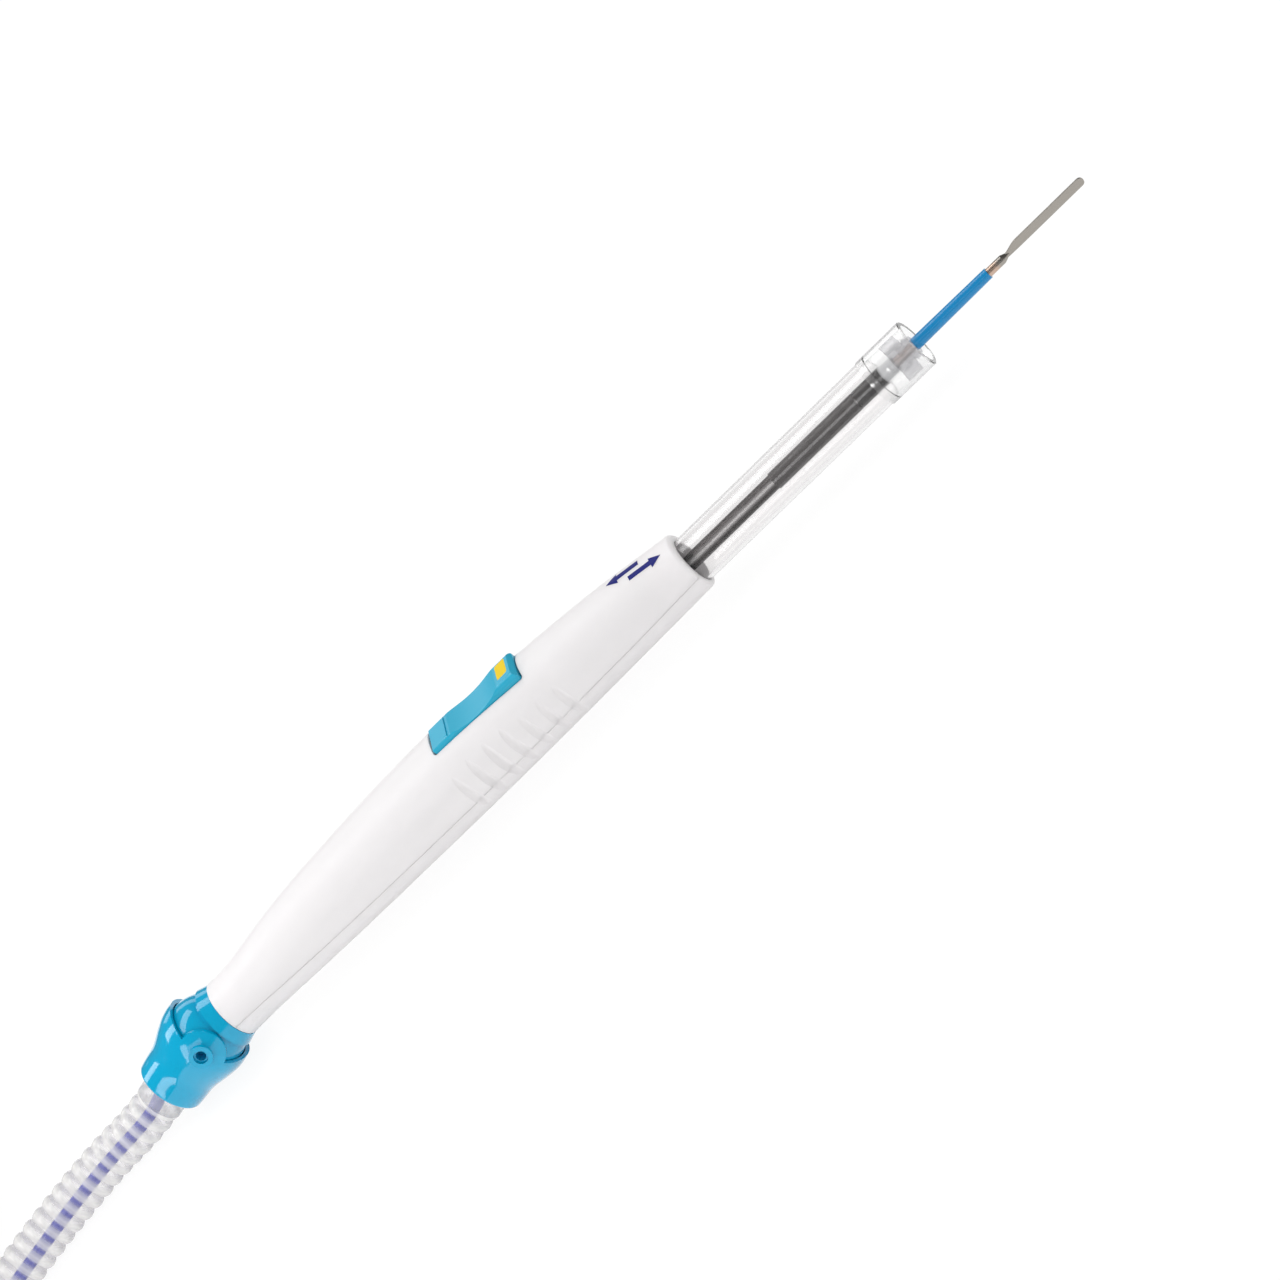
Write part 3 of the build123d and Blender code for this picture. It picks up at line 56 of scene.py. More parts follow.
# %% A place on the pencil
SEAM_X = -139.575
AXIS_HEIGHT = 12.283


def place(along, aside, height):
    """A point from its place along the pencil, aside from it and above the table, in millimetres."""
    return Vector(((SEAM_X + along) * MM, aside * MM, height * MM))


# %% [markdown]
# ## Camera
# The photograph looks at the pencil from its near side, in front and above, with the camera rolled so
# that the pencil lies across the picture's diagonal. A long lens keeps it almost without perspective.
# The three directions below are the camera's right, up and back in the frame.

# %% Camera
SENSOR_WIDTH = 36.0
PICTURE_PIXELS = 1280
FOCAL_PIXELS = 3860
FARTHEST_SEEN = 20
camera_spot = place(424.18, -809.27, AXIS_HEIGHT + 461.32)
camera_right = Vector((0.6888, -0.1724, -0.7041)).normalized()
camera_back = Vector((0.2823, -0.8308, 0.4797))
camera_back = (camera_back - camera_back.dot(camera_right) * camera_right).normalized()
camera_up = camera_back.cross(camera_right)
turn = Matrix((camera_right, camera_up, camera_back)).transposed().to_4x4()

camera_data = bpy.data.cameras.new("studio_camera")
camera_data.sensor_width = SENSOR_WIDTH
camera_data.lens = SENSOR_WIDTH * FOCAL_PIXELS / PICTURE_PIXELS
camera_data.clip_end = FARTHEST_SEEN
camera = bpy.data.objects.new("studio_camera", camera_data)
bpy.context.scene.collection.objects.link(camera)
camera.matrix_world = Matrix.Translation(camera_spot) @ turn
bpy.context.scene.camera = camera
print("camera", round(camera_data.lens, 1), "mm lens")

# %% [markdown]
# ## The hose's route
# The hose leaves the swivel straight, settles on the table and goes off in a loose curve. What the
# photograph doesn't show of its three metres is folded to a long hank behind the pencil, four turns
# high, with the end on top. The points could be drawn by hand, but the hank's turns repeat, so a loop
# sets them out: along one side, round the fold, back along the other side and round again.

# %% The hose's route
HOSE_RADIUS = 6.5
TABLE_LIE = HOSE_RADIUS + 0.1
HANK_SIDE = 22.0
FOLD_RADIUS = 39.4
FOLD_STEPS = 7
FRONT_FOLD = -160.5
REAR_FOLD = -382.5
LAYER_RISE = 13.2
TOP_LIE = 59.8
RUN_SHARES = (0.1, 0.35, 0.65, 0.9)
NEAR_WAVE = 5
FAR_WAVE = 4
TURN_SLACK = ((0.6, 0.4), (-0.5, 0.7), (0.3, -0.6), (-0.2, 0.2))

hose_points = [
    place(-34.55, -1.07, 8.0),
    place(-42.4, -1.42, TABLE_LIE + 0.2),
    place(-58.0, -1.6, TABLE_LIE),
    place(-80.0, -6.7, TABLE_LIE),
    place(-101.0, -13.6, TABLE_LIE),
    place(-116.0, -17.0, TABLE_LIE),
    place(-135.0, -17.2, TABLE_LIE),
]
step_angle = pi / FOLD_STEPS
corner_radius = FOLD_RADIUS / cos(step_angle / 2)
near, far = HANK_SIDE - FOLD_RADIUS, HANK_SIDE + FOLD_RADIUS
run = FRONT_FOLD - REAR_FOLD
for layer, (out, sway) in enumerate(TURN_SLACK):
    low = TABLE_LIE + layer * LAYER_RISE
    high = TOP_LIE if layer == len(TURN_SLACK) - 1 else low + LAYER_RISE
    for share in RUN_SHARES:
        hose_points.append(place(FRONT_FOLD - share * run, near + sway * sin(NEAR_WAVE * share), low))
    for step in range(FOLD_STEPS):
        angle = -pi / 2 - (step + 0.5) * step_angle
        hose_points.append(
            place(
                REAR_FOLD + (corner_radius + out) * cos(angle),
                HANK_SIDE + corner_radius * sin(angle),
                low,
            )
        )
    for share in RUN_SHARES:
        hose_points.append(place(REAR_FOLD + share * run, far - sway * sin(FAR_WAVE * share), low))
    for step in range(FOLD_STEPS):
        angle = pi / 2 - (step + 0.5) * step_angle
        climb = min(1.0, (step + 0.5) / (FOLD_STEPS - 1.5))
        hose_points.append(
            place(
                FRONT_FOLD + (corner_radius + out) * cos(angle),
                HANK_SIDE + corner_radius * sin(angle),
                low + (high - low) * climb * climb * (3 - 2 * climb),
            )
        )
hose_points += [
    place(-172.0, -17.4, TOP_LIE),
    place(-187.0, -16.4, TOP_LIE + 0.4),
    place(-206.0, -12.6, 66.3),
    place(-223.0, -11.0, 68.2),
    place(-240.0, -11.0, 68.2),
]
print("hose route", len(hose_points), "points")

# %% [markdown]
# ## From points to a line
# A springy hose has no corners. A polyline would show each of its points as a kink, so a NURBS curve
# follows them instead, and its finely divided line is read back for the sweep and for the length.


# %% A smooth line
def smooth_line(name, points, resolution=10):
    """A curve object: one open NURBS spline with the route's points as its control points."""
    data = bpy.data.curves.new(name, "CURVE")
    data.dimensions = "3D"
    data.resolution_u = resolution
    spline = data.splines.new("NURBS")
    spline.points.add(len(points) - 1)
    for spot, point in zip(points, spline.points):
        point.co = (*spot, 1.0)
    spline.order_u = 3
    spline.use_endpoint_u = True
    curve = bpy.data.objects.new(name, data)
    bpy.context.scene.collection.objects.link(curve)
    return curve


def read_line(curve):
    """The points along a curve, in order, and its length."""
    graph = bpy.context.evaluated_depsgraph_get()
    mesh = bpy.data.meshes.new_from_object(curve.evaluated_get(graph))
    points = [v.co.copy() for v in mesh.vertices]
    bpy.data.meshes.remove(mesh)
    return points, sum((b - a).length for a, b in zip(points, points[1:]))


hose_curve = smooth_line("hose_route", hose_points)
hose_line, hose_length = read_line(hose_curve)
print("hose", round(hose_length, 3), "m in", len(hose_line), "points")

# %% [markdown]
# ## The corrugated hose
# The real hose is a thin clear film blown into rings, 4.2 mm from one ring to the next. Modelling
# one ring and copying it would leave seams, so a Geometry Nodes tree sweeps a circle along the route
# instead and swells it at every ring. A tree is quickest to read when each node is one short call, so
# a small helper adds a node with its settings and links. The same helper serves the materials.


# %% A helper that adds nodes
def add_node(tree, kind, inputs=None, links=None, **settings):
    """Adds a node, sets its properties and inputs, and links sockets of earlier nodes to it."""
    node = tree.nodes.new(kind)
    for name, value in settings.items():
        setattr(node, name, value)
    for name, value in (inputs or {}).items():
        node.inputs[name].default_value = value
    for name, socket in (links or {}).items():
        tree.links.new(socket, node.inputs[name])
    return node


# %% What the tree is given
RING_PITCH = 4.2
VALLEY_DEPTH = 0.85
HOSE_SIDES = 24
hose_tree = bpy.data.node_groups.new("corrugated_hose", "GeometryNodeTree")
for socket_name, kind, value in (
    ("Route", "NodeSocketGeometry", None),
    ("Ring pitch", "NodeSocketFloat", RING_PITCH * MM),
    ("Ring radius", "NodeSocketFloat", HOSE_RADIUS * MM),
    ("Valley depth", "NodeSocketFloat", VALLEY_DEPTH * MM),
    ("Sides", "NodeSocketInt", HOSE_SIDES),
    ("Closed ends", "NodeSocketBool", False),
    ("Finish", "NodeSocketMaterial", None),
):
    socket = hose_tree.interface.new_socket(socket_name, in_out="INPUT", socket_type=kind)
    if value is not None:
        socket.default_value = value
hose_tree.interface.new_socket("Hose", in_out="OUTPUT", socket_type="NodeSocketGeometry")
given = hose_tree.nodes.new("NodeGroupInput").outputs
print("hose tree takes", [socket.name for socket in given if socket.name])

# %% [markdown]
# ## Rings along the route
# The route is divided to four points on each ring: crown, slope, valley, slope. A cosine of the
# point's number tells how deep in the valley it is, and squared it makes narrow valleys between broad
# crowns, as on blown hose. The same number is stored on the points, for the material.

# %% Rings
to_curve = add_node(hose_tree, "GeometryNodeMeshToCurve", links={"Mesh": given["Route"]})
quarter = add_node(
    hose_tree, "ShaderNodeMath", {1: 0.25}, {0: given["Ring pitch"]}, operation="MULTIPLY"
)
even = add_node(
    hose_tree,
    "GeometryNodeResampleCurve",
    links={"Curve": to_curve.outputs["Curve"], "Length": quarter.outputs[0]},
    mode="LENGTH",
)
index = add_node(hose_tree, "GeometryNodeInputIndex")
phase = add_node(hose_tree, "ShaderNodeMath", {1: pi / 2}, {0: index.outputs[0]}, operation="MULTIPLY")
wave = add_node(hose_tree, "ShaderNodeMath", links={0: phase.outputs[0]}, operation="COSINE")
trough = add_node(
    hose_tree, "ShaderNodeMath", {1: -0.5, 2: 0.5}, {0: wave.outputs[0]}, operation="MULTIPLY_ADD"
)
narrow = add_node(hose_tree, "ShaderNodeMath", {1: 2.0}, {0: trough.outputs[0]}, operation="POWER")
sunk = add_node(
    hose_tree,
    "ShaderNodeMath",
    links={0: narrow.outputs[0], 1: given["Valley depth"]},
    operation="MULTIPLY",
)
swell = add_node(
    hose_tree,
    "ShaderNodeMath",
    links={0: given["Ring radius"], 1: sunk.outputs[0]},
    operation="SUBTRACT",
)
marked = add_node(
    hose_tree,
    "GeometryNodeStoreNamedAttribute",
    {"Name": "valley"},
    {"Geometry": even.outputs["Curve"], "Value": narrow.outputs[0]},
    data_type="FLOAT",
    domain="POINT",
)
swollen = add_node(
    hose_tree,
    "GeometryNodeSetCurveRadius",
    links={"Curve": marked.outputs["Geometry"], "Radius": swell.outputs[0]},
)

# %% [markdown]
# ## The sweep
# A circle swept along the divided route takes each point's radius, and becomes the hose's skin. Smooth
# shading rounds the rings. The same tree, with rings of no depth, makes the plain cable.

# %% Sweep and finish
circle = add_node(
    hose_tree, "GeometryNodeCurvePrimitiveCircle", {"Radius": 1.0}, {"Resolution": given["Sides"]}
)
radius_field = add_node(hose_tree, "GeometryNodeInputRadius")
swept = add_node(
    hose_tree,
    "GeometryNodeCurveToMesh",
    links={
        "Curve": swollen.outputs["Curve"],
        "Profile Curve": circle.outputs["Curve"],
        "Scale": radius_field.outputs[0],
        "Fill Caps": given["Closed ends"],
    },
)
smooth = add_node(hose_tree, "GeometryNodeSetShadeSmooth", links={"Geometry": swept.outputs["Mesh"]})
real = add_node(
    hose_tree, "GeometryNodeRealizeInstances", links={"Geometry": smooth.outputs["Geometry"]}
)
coated = add_node(
    hose_tree,
    "GeometryNodeSetMaterial",
    links={"Geometry": real.outputs["Geometry"], "Material": given["Finish"]},
)
add_node(hose_tree, "NodeGroupOutput", links={"Hose": coated.outputs["Geometry"]})
print("hose tree", len(hose_tree.nodes), "nodes")

# %% [markdown]
# ## Colours and materials
# Colours are written as sRGB hex, as on a colour card, and one function turns them to the linear
# values that a renderer works with. Another gives an empty material, so that each finish below starts
# clean and says all that it needs itself.


# %% Helpers for materials
def ink(hex_colour):
    """A linear RGBA colour from an sRGB hex value."""
    parts = [int(hex_colour[i : i + 2], 16) / 255 for i in (1, 3, 5)]
    return [p / 12.92 if p <= 0.04045 else ((p + 0.055) / 1.055) ** 2.4 for p in parts] + [1.0]


def new_material(name):
    """An empty material with its output node."""
    material = bpy.data.materials.new(name)
    material.use_nodes = True
    material.node_tree.nodes.clear()
    return material, material.node_tree, material.node_tree.nodes.new("ShaderNodeOutputMaterial")


# %% [markdown]
# ## Clear corrugated film
# The hose is soft EVA or PVC film a few tenths of a millimetre thick. It is too thin to bend light
# much, so refraction would be wrong: what the eye sees is a clear skin that turns milky where it is met
# at a slant, with sharp small glints. The crown of each ring is painted whiter still, as a painted
# highlight.

# %% Film material
FLOW_WAVE_MM = 3.5
FLOW_HEIGHT_MM = 0.03


def clear_film(name, milk, crown, colour="#ECEBE8", slant_share=0.5, narrow=1.0):
    """Thin clear plastic. milk is how white it is face on, crown how white a ring's crown is painted, a
    painted highlight that a piece without rings takes all over.

    slant_share is how much whiter it gets at a slant, narrow how closely the white keeps to the crown.
    """
    material, tree, output = new_material(name)
    ring = add_node(tree, "ShaderNodeAttribute", attribute_name="valley")
    height = add_node(
        tree, "ShaderNodeMath", {0: 1.0}, {1: ring.outputs["Fac"]}, operation="SUBTRACT"
    )
    peak = add_node(tree, "ShaderNodeMath", {1: narrow}, {0: height.outputs[0]}, operation="POWER")
    # Painted highlight: the crown of each ring is painted whiter than its valley.
    whiter = add_node(
        tree,
        "ShaderNodeMapRange",
        {"From Min": 0.0, "From Max": 1.0, "To Min": milk, "To Max": crown},
        {"Value": peak.outputs[0]},
    )
    slant = add_node(tree, "ShaderNodeLayerWeight", {"Blend": 0.35})
    total = add_node(
        tree,
        "ShaderNodeMath",
        {1: slant_share},
        {0: slant.outputs["Facing"], 2: whiter.outputs["Result"]},
        operation="MULTIPLY_ADD",
        use_clamp=True,
    )
    where = add_node(tree, "ShaderNodeTexCoord")
    uneven = add_node(
        tree,
        "ShaderNodeTexNoise",
        {"Scale": 1000 / FLOW_WAVE_MM, "Detail": 2.0},
        {"Vector": where.outputs["Object"]},
    )
    flow = add_node(
        tree,
        "ShaderNodeBump",
        {"Strength": 1.0, "Distance": FLOW_HEIGHT_MM * MM},
        {"Height": uneven.outputs["Fac"]},
    )
    clear = add_node(tree, "ShaderNodeBsdfTransparent", {"Color": ink("#FAF9FA")})
    skin = add_node(
        tree,
        "ShaderNodeBsdfPrincipled",
        {"Base Color": ink(colour), "Roughness": 0.1, "IOR": 1.5},
        {"Normal": flow.outputs["Normal"]},
    )
    film = add_node(
        tree,
        "ShaderNodeMixShader",
        links={0: total.outputs[0], 1: clear.outputs[0], 2: skin.outputs[0]},
    )
    tree.links.new(film.outputs[0], output.inputs["Surface"])
    return material


# The hose's crowns are painted 0.62 white against 0.03 in the valleys, a painted highlight.
hose_film = clear_film("clear_hose_film", 0.03, 0.62, narrow=1.6)
print("film", hose_film.name)

# %% [markdown]
# ## Pieces that the scene adds
# A mesh that is made here is hung on the body it rides on, so that it moves with it. Modifiers are
# worked out first, so that every piece is a plain mesh with one material.


# %% Helpers for finished meshes
def coat_mesh(mesh, material):
    """Gives a mesh one material."""
    mesh.materials.clear()
    mesh.materials.append(material)


def link_piece(name, mesh, body, material=None):
    """A finished mesh as a piece that rides on a body."""
    piece = bpy.data.objects.new(name, mesh)
    bpy.context.scene.collection.objects.link(piece)
    if material:
        coat_mesh(mesh, material)
    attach(piece, body)
    return piece


def baked(thing, name):
    """The evaluated mesh of an object with its modifiers, as a plain mesh; the object goes."""
    graph = bpy.context.evaluated_depsgraph_get()
    mesh = bpy.data.meshes.new_from_object(thing.evaluated_get(graph))
    mesh.name = name
    bpy.data.objects.remove(thing)
    return mesh


# %% [markdown]
# ## Sweeping the hose
# The tree needs the route as a chain of edges. The chain is read from the NURBS spline, and the swept
# tube is turned into a plain mesh before it is handed to the frame.


# %% Sweep the hose
def swept_tube(name, line, **inputs):
    """A tube swept along a line by the tree, with the tree's named inputs (spaces as underscores)."""
    chain = bpy.data.meshes.new(name + "_chain")
    chain.from_pydata(line, [(i, i + 1) for i in range(len(line) - 1)], [])
    carrier = bpy.data.objects.new(name + "_chain", chain)
    bpy.context.scene.collection.objects.link(carrier)
    sweeper = carrier.modifiers.new("sweep", "NODES")
    sweeper.node_group = hose_tree
    for item in hose_tree.interface.items_tree:
        wanted = item.name.replace(" ", "_")
        if item.item_type == "SOCKET" and wanted in inputs:
            sweeper[item.identifier] = inputs[wanted]
    return baked(carrier, name)


hose_mesh = swept_tube("smoke_hose_tube", hose_line, Finish=hose_film)
corrugated_hose = link_piece("corrugated_hose", hose_mesh, "bell")
bpy.data.objects.remove(hose_curve)
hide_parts("smoke_hose", "smoke_hose_hank", "smoke_hose_end")
print("hose triangles", 2 * len(hose_mesh.polygons))

# %% [markdown]
# ## The cable in the hose
# The cable starts in the swivel, lies on the hose's lower wall all the way, leaves the adapter through
# a grommet and ends in the plug. It shares the hose's points, a little lower, so it stays inside.

# %% The cable's route
CABLE_RADIUS = 1.75
CABLE_SIDES = 16
CABLE_STEP = 8.0
LOWEST_SAG = 2.6
SAG_START = -0.2
SAG_RISE = 0.4
POINTS_IN_ADAPTER = 3
cable_points = [
    place(-13.2, 0.0, AXIS_HEIGHT + 1.55),
    place(-20.0, -0.2, AXIS_HEIGHT + 0.4),
    place(-29.0, -0.4, AXIS_HEIGHT - 1.2),
]
for number, spot in enumerate(hose_points[:-POINTS_IN_ADAPTER]):
    sag = min(LOWEST_SAG, SAG_RISE * number + SAG_START)
    cable_points.append(spot - Vector((0, 0, sag * MM)))
cable_points += [
    place(-206.0, -12.4, 64.0),
    place(-223.0, -11.2, 66.1),
    place(-240.0, -10.6, 66.7),
    place(-250.0, -13.8, 68.1),
    place(-257.0, -18.7, 68.2),
    place(-264.0, -23.6, 68.2),
    place(-273.8, -30.5, 68.2),
    place(-292.0, -29.5, 63.7),
    place(-310.0, -24.5, 58.5),
    place(-332.0, -19.5, 55.7),
    place(-362.0, -18.0, 55.0),
    place(-391.0, -13.0, 55.05),
    place(-411.5, 1.5, 55.0),
    place(-419.0, 24.0, 55.05),
    place(-410.5, 47.0, 55.0),
    place(-388.0, 59.5, 55.05),
    place(-358.0, 61.5, 55.0),
    place(-328.0, 59.5, 56.0),
    place(-298.0, 57.0, 59.7),
    place(-276.0, 57.0, 61.2),
    place(-262.0, 57.0, 61.2),
]
cable_curve = smooth_line("cable", cable_points, resolution=8)
cable_line, cable_length = read_line(cable_curve)
bpy.data.objects.remove(cable_curve)
cable_mesh = swept_tube(
    "cable_tube",
    cable_line,
    Ring_pitch=CABLE_STEP * MM,
    Ring_radius=CABLE_RADIUS * MM,
    Valley_depth=0.0,
    Sides=CABLE_SIDES,
    Closed_ends=True,
)
hose_cable = link_piece("hose_cable", cable_mesh, "bell")
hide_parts("cable_tail")
print("cable", round(cable_length, 3), "m")

# %% [markdown]
# ## Moulded plastics
# The shells, the rocker and the swivel are injection-moulded: ABS with a satin or polished face, and
# a glossier polycarbonate blend for the cyan pieces. A moulded skin is never a perfect mirror: it has
# a faint orange peel, and its gloss drifts a little where it has been handled.

# %% Moulded plastic material
HANDLED_WAVE_MM = 38


def moulded(
    name, colour, roughness, peel_mm, peel_height, depth_mm=0.0, depth_weight=0.0, coat=0.0, sheen=0.5
):
    """Moulded plastic. peel_mm is the orange peel's wavelength, depth_mm how far light soaks in."""
    material, tree, output = new_material(name)
    where = add_node(tree, "ShaderNodeTexCoord")
    peel = add_node(
        tree,
        "ShaderNodeTexNoise",
        {"Scale": 1000 / peel_mm, "Detail": 2.0, "Roughness": 0.5},
        {"Vector": where.outputs["Object"]},
    )
    handling = add_node(
        tree,
        "ShaderNodeTexNoise",
        {"Scale": 1000 / HANDLED_WAVE_MM, "Detail": 4.0, "Roughness": 0.6},
        {"Vector": where.outputs["Object"]},
    )
    gloss = add_node(
        tree,
        "ShaderNodeMapRange",
        {"From Min": 0.0, "From Max": 1.0, "To Min": roughness * 0.8, "To Max": roughness * 1.2},
        {"Value": handling.outputs["Fac"]},
    )
    tint = add_node(
        tree,
        "ShaderNodeMix",
        {6: [c * 0.98 for c in ink(colour)[:3]] + [1.0], 7: ink(colour)},
        {0: handling.outputs["Fac"]},
        data_type="RGBA",
    )
    skin = add_node(
        tree,
        "ShaderNodeBump",
        {"Strength": 1.0, "Distance": peel_height * MM},
        {"Height": peel.outputs["Fac"]},
    )
    plastic = add_node(
        tree,
        "ShaderNodeBsdfPrincipled",
        {
            "IOR": 1.53,
            "Specular IOR Level": sheen,
            "Subsurface Weight": depth_weight,
            "Subsurface Radius": (1.0, 1.0, 1.0),
            "Subsurface Scale": max(depth_mm, 0.1) * MM,
            "Coat Weight": coat,
            "Coat Roughness": 0.06,
        },
        {
            "Base Color": tint.outputs[2],
            "Roughness": gloss.outputs["Result"],
            "Normal": skin.outputs["Normal"],
        },
    )
    tree.links.new(plastic.outputs[0], output.inputs["Surface"])
    return material


white_abs = moulded(
    "white_moulded_abs", "#F2EFF0", 0.4, 2.2, 0.004, depth_mm=2.5, depth_weight=0.5, sheen=0.35
)
turquoise_abs = moulded("turquoise_moulded_abs", "#17ABCD", 0.3, 1.6, 0.006)
cyan_plastic = moulded("cyan_polycarbonate_blend", "#00A8D2", 0.12, 2.4, 0.008, coat=0.8, sheen=0.25)
yellow_plastic = moulded("yellow_moulded_insert", "#ECCB00", 0.36, 1.2, 0.004, sheen=0.2)
pale_plastic = moulded("natural_nylon", "#D6D6D8", 0.25, 1.2, 0.004, depth_mm=1.0, depth_weight=0.3)
sleeve_grey = moulded("dark_grey_heat_shrink", "#464242", 0.3, 1.4, 0.006, sheen=0.45)
socket_black = moulded("black_moulded_socket", "#2E2B2B", 0.22, 1.4, 0.006)
blue_sleeve = moulded("blue_electrode_insulation", "#0086C2", 0.3, 0.9, 0.006, coat=0.5, sheen=0.3)
cable_jacket = moulded("violet_blue_pvc_jacket", "#7478CC", 0.38, 1.5, 0.01)
adapter_plastic = moulded(
    "pale_polypropylene", "#DFE4E8", 0.32, 2.0, 0.006, depth_mm=1.5, depth_weight=0.3
)
plug_plastic = moulded("blue_plug_pvc", "#2A4FA3", 0.4, 1.6, 0.01)
black_rubber = moulded("black_silicone_rubber", "#232325", 0.55, 0.8, 0.01)
pale_rubber = moulded(
    "pale_silicone_rubber", "#ECEDEF", 0.45, 0.8, 0.01, depth_mm=2.0, depth_weight=0.5
)
tie_band = moulded("white_elastic_band", "#E4E5E6", 0.5, 0.6, 0.02)
solder_mask = moulded("green_solder_mask", "#1E6B3A", 0.3, 0.7, 0.01)
spider_film = clear_film("smoke_grey_polycarbonate", 0.4, 0.34, "#C9CACD", slant_share=0.3)
print("materials with the plastics", len(bpy.data.materials))

# %% [markdown]
# ## Dressing the plastic pieces
# A CAD solid keeps its mesh untouched and only takes on a material. Pieces that are moulded from the
# same plastic share one, as the two shells do with the tray and the clamp between them.


# %% Dress the plastic pieces
def dress(material, *names):
    """Gives CAD nodes their finish."""
    for name in names:
        coat_mesh(nodes[name].data, material)


dress(white_abs, "handle_upper_shell", "handle_lower_shell", "switch_tray", "cable_clamp")
dress(turquoise_abs, "rocker")
dress(yellow_plastic, "rocker_inlay")
dress(cyan_plastic, "swivel_knuckle", "swivel_bell")
dress(spider_film, "tip_spider")
dress(pale_plastic, "socket_collar")
dress(sleeve_grey, "rod_sleeve")
dress(socket_black, "electrode_socket")
dress(blue_sleeve, "electrode_sleeve")
dress(cable_jacket, "handle_cable", "internal_leads")
coat_mesh(hose_cable.data, cable_jacket)
dress(adapter_plastic, "hose_adapter")
dress(plug_plastic, "plug_relief", "plug_body")
dress(black_rubber, "cable_grommet")
dress(pale_rubber, "nozzle_seal", "knuckle_seal")
dress(tie_band, "hank_ties")
dress(solder_mask, "switch_board")
print("shells wear", nodes["handle_upper_shell"].data.materials[0].name)

# %% [markdown]
# ## Metals
# The contact rod is drawn stainless tube with faint lines along it. The electrode is the same steel
# stamped flat, duller and warmer, with a copper tone on its round shank. Both are metal all through,
# so their colour is their reflection's, save that the rod is painted darker where it is seen at a
# slant: painted shade.


# %% Drawn and stamped steel
def drawn_metal(name, colour, roughness, line_mm, line_height, painted_edge_shade=None, tinted=None):
    """Metal with fine lines along X, as drawing leaves them. painted_edge_shade is a darker tone
    painted where the metal is seen at a slant, a painted shade.

    tinted is a second tone with the places along the pencil, in mm, between which it fades out.
    """
    material, tree, output = new_material(name)
    where = add_node(tree, "ShaderNodeTexCoord")
    stretch = add_node(
        tree,
        "ShaderNodeMapping",
        {"Scale": (0.02, 1.0, 1.0)},
        {"Vector": where.outputs["Object"]},
    )
    lines = add_node(
        tree,
        "ShaderNodeTexNoise",
        {"Scale": 1000 / line_mm, "Detail": 3.0, "Roughness": 0.6},
        {"Vector": stretch.outputs["Vector"]},
    )
    gloss = add_node(
        tree,
        "ShaderNodeMapRange",
        {"From Min": 0.3, "From Max": 0.7, "To Min": roughness * 0.7, "To Max": roughness * 1.3},
        {"Value": lines.outputs["Fac"]},
    )
    scratch = add_node(
        tree,
        "ShaderNodeBump",
        {"Strength": 1.0, "Distance": line_height * MM},
        {"Height": lines.outputs["Fac"]},
    )
    metal = add_node(
        tree,
        "ShaderNodeBsdfPrincipled",
        {"Base Color": ink(colour), "Metallic": 1.0},
        {"Roughness": gloss.outputs["Result"], "Normal": scratch.outputs["Normal"]},
    )
    # Painted shade: the metal's colour turns darker where it is seen at a slant.
    if painted_edge_shade:
        slant = add_node(tree, "ShaderNodeLayerWeight", {"Blend": 0.5})
        edge = add_node(
            tree,
            "ShaderNodeMapRange",
            {"From Min": 0.02, "From Max": 0.16, "To Min": 0.0, "To Max": 1.0},
            {"Value": slant.outputs["Facing"]},
            interpolation_type="SMOOTHSTEP",
        )
        tone = add_node(
            tree,
            "ShaderNodeMix",
            {6: ink(colour), 7: ink(painted_edge_shade)},
            {0: edge.outputs["Result"]},
            data_type="RGBA",
        )
        tree.links.new(tone.outputs[2], metal.inputs["Base Color"])
    if tinted:
        tint, last, gone = tinted
        parts = add_node(tree, "ShaderNodeSeparateXYZ", links={0: where.outputs["Object"]})
        fade = add_node(
            tree,
            "ShaderNodeMapRange",
            {"From Min": (SEAM_X + last) * MM, "From Max": (SEAM_X + gone) * MM},
            {"Value": parts.outputs["X"]},
        )
        tone = add_node(
            tree,
            "ShaderNodeMix",
            {6: ink(tint), 7: ink(colour)},
            {0: fade.outputs["Result"]},
            data_type="RGBA",
        )
        tree.links.new(tone.outputs[2], metal.inputs["Base Color"])
    tree.links.new(metal.outputs[0], output.inputs["Surface"])
    return material


# The rod's darker sides are painted shade, #474444 where it is seen at a slant.
rod_steel = drawn_metal("drawn_stainless_rod", "#959393", 0.34, 0.25, 0.002, painted_edge_shade="#474444")
copper_shank = ("#CDB3A1", 280, 281.5)
blade_steel = drawn_metal(
    "stamped_stainless_blade", "#A9A49D", 0.34, 0.18, 0.003, tinted=copper_shank
)
spring_brass = drawn_metal("spring_brass", "#C9A24E", 0.28, 0.3, 0.003)
dress(rod_steel, "contact_rod", "cut_dome", "coag_dome", "plug_pins")
dress(blade_steel, "electrode_blade")
dress(spring_brass, "contact_clip")
print("metals", rod_steel.name, blade_steel.name, spring_brass.name)

# %% [markdown]
# ## Clear nozzle
# The nozzle is extruded clear plastic with a real wall, so here refraction is right: it darkens the
# tube's two edges and bends the rod behind the wall, which is what makes clear plastic read as clear.
# Light on its way to the pieces inside is let straight through, or they would stand in the dark.

# %% Clear plastic material
RIPPLE_WAVE_MM = 9
RIPPLE_HEIGHT_MM = 0.01


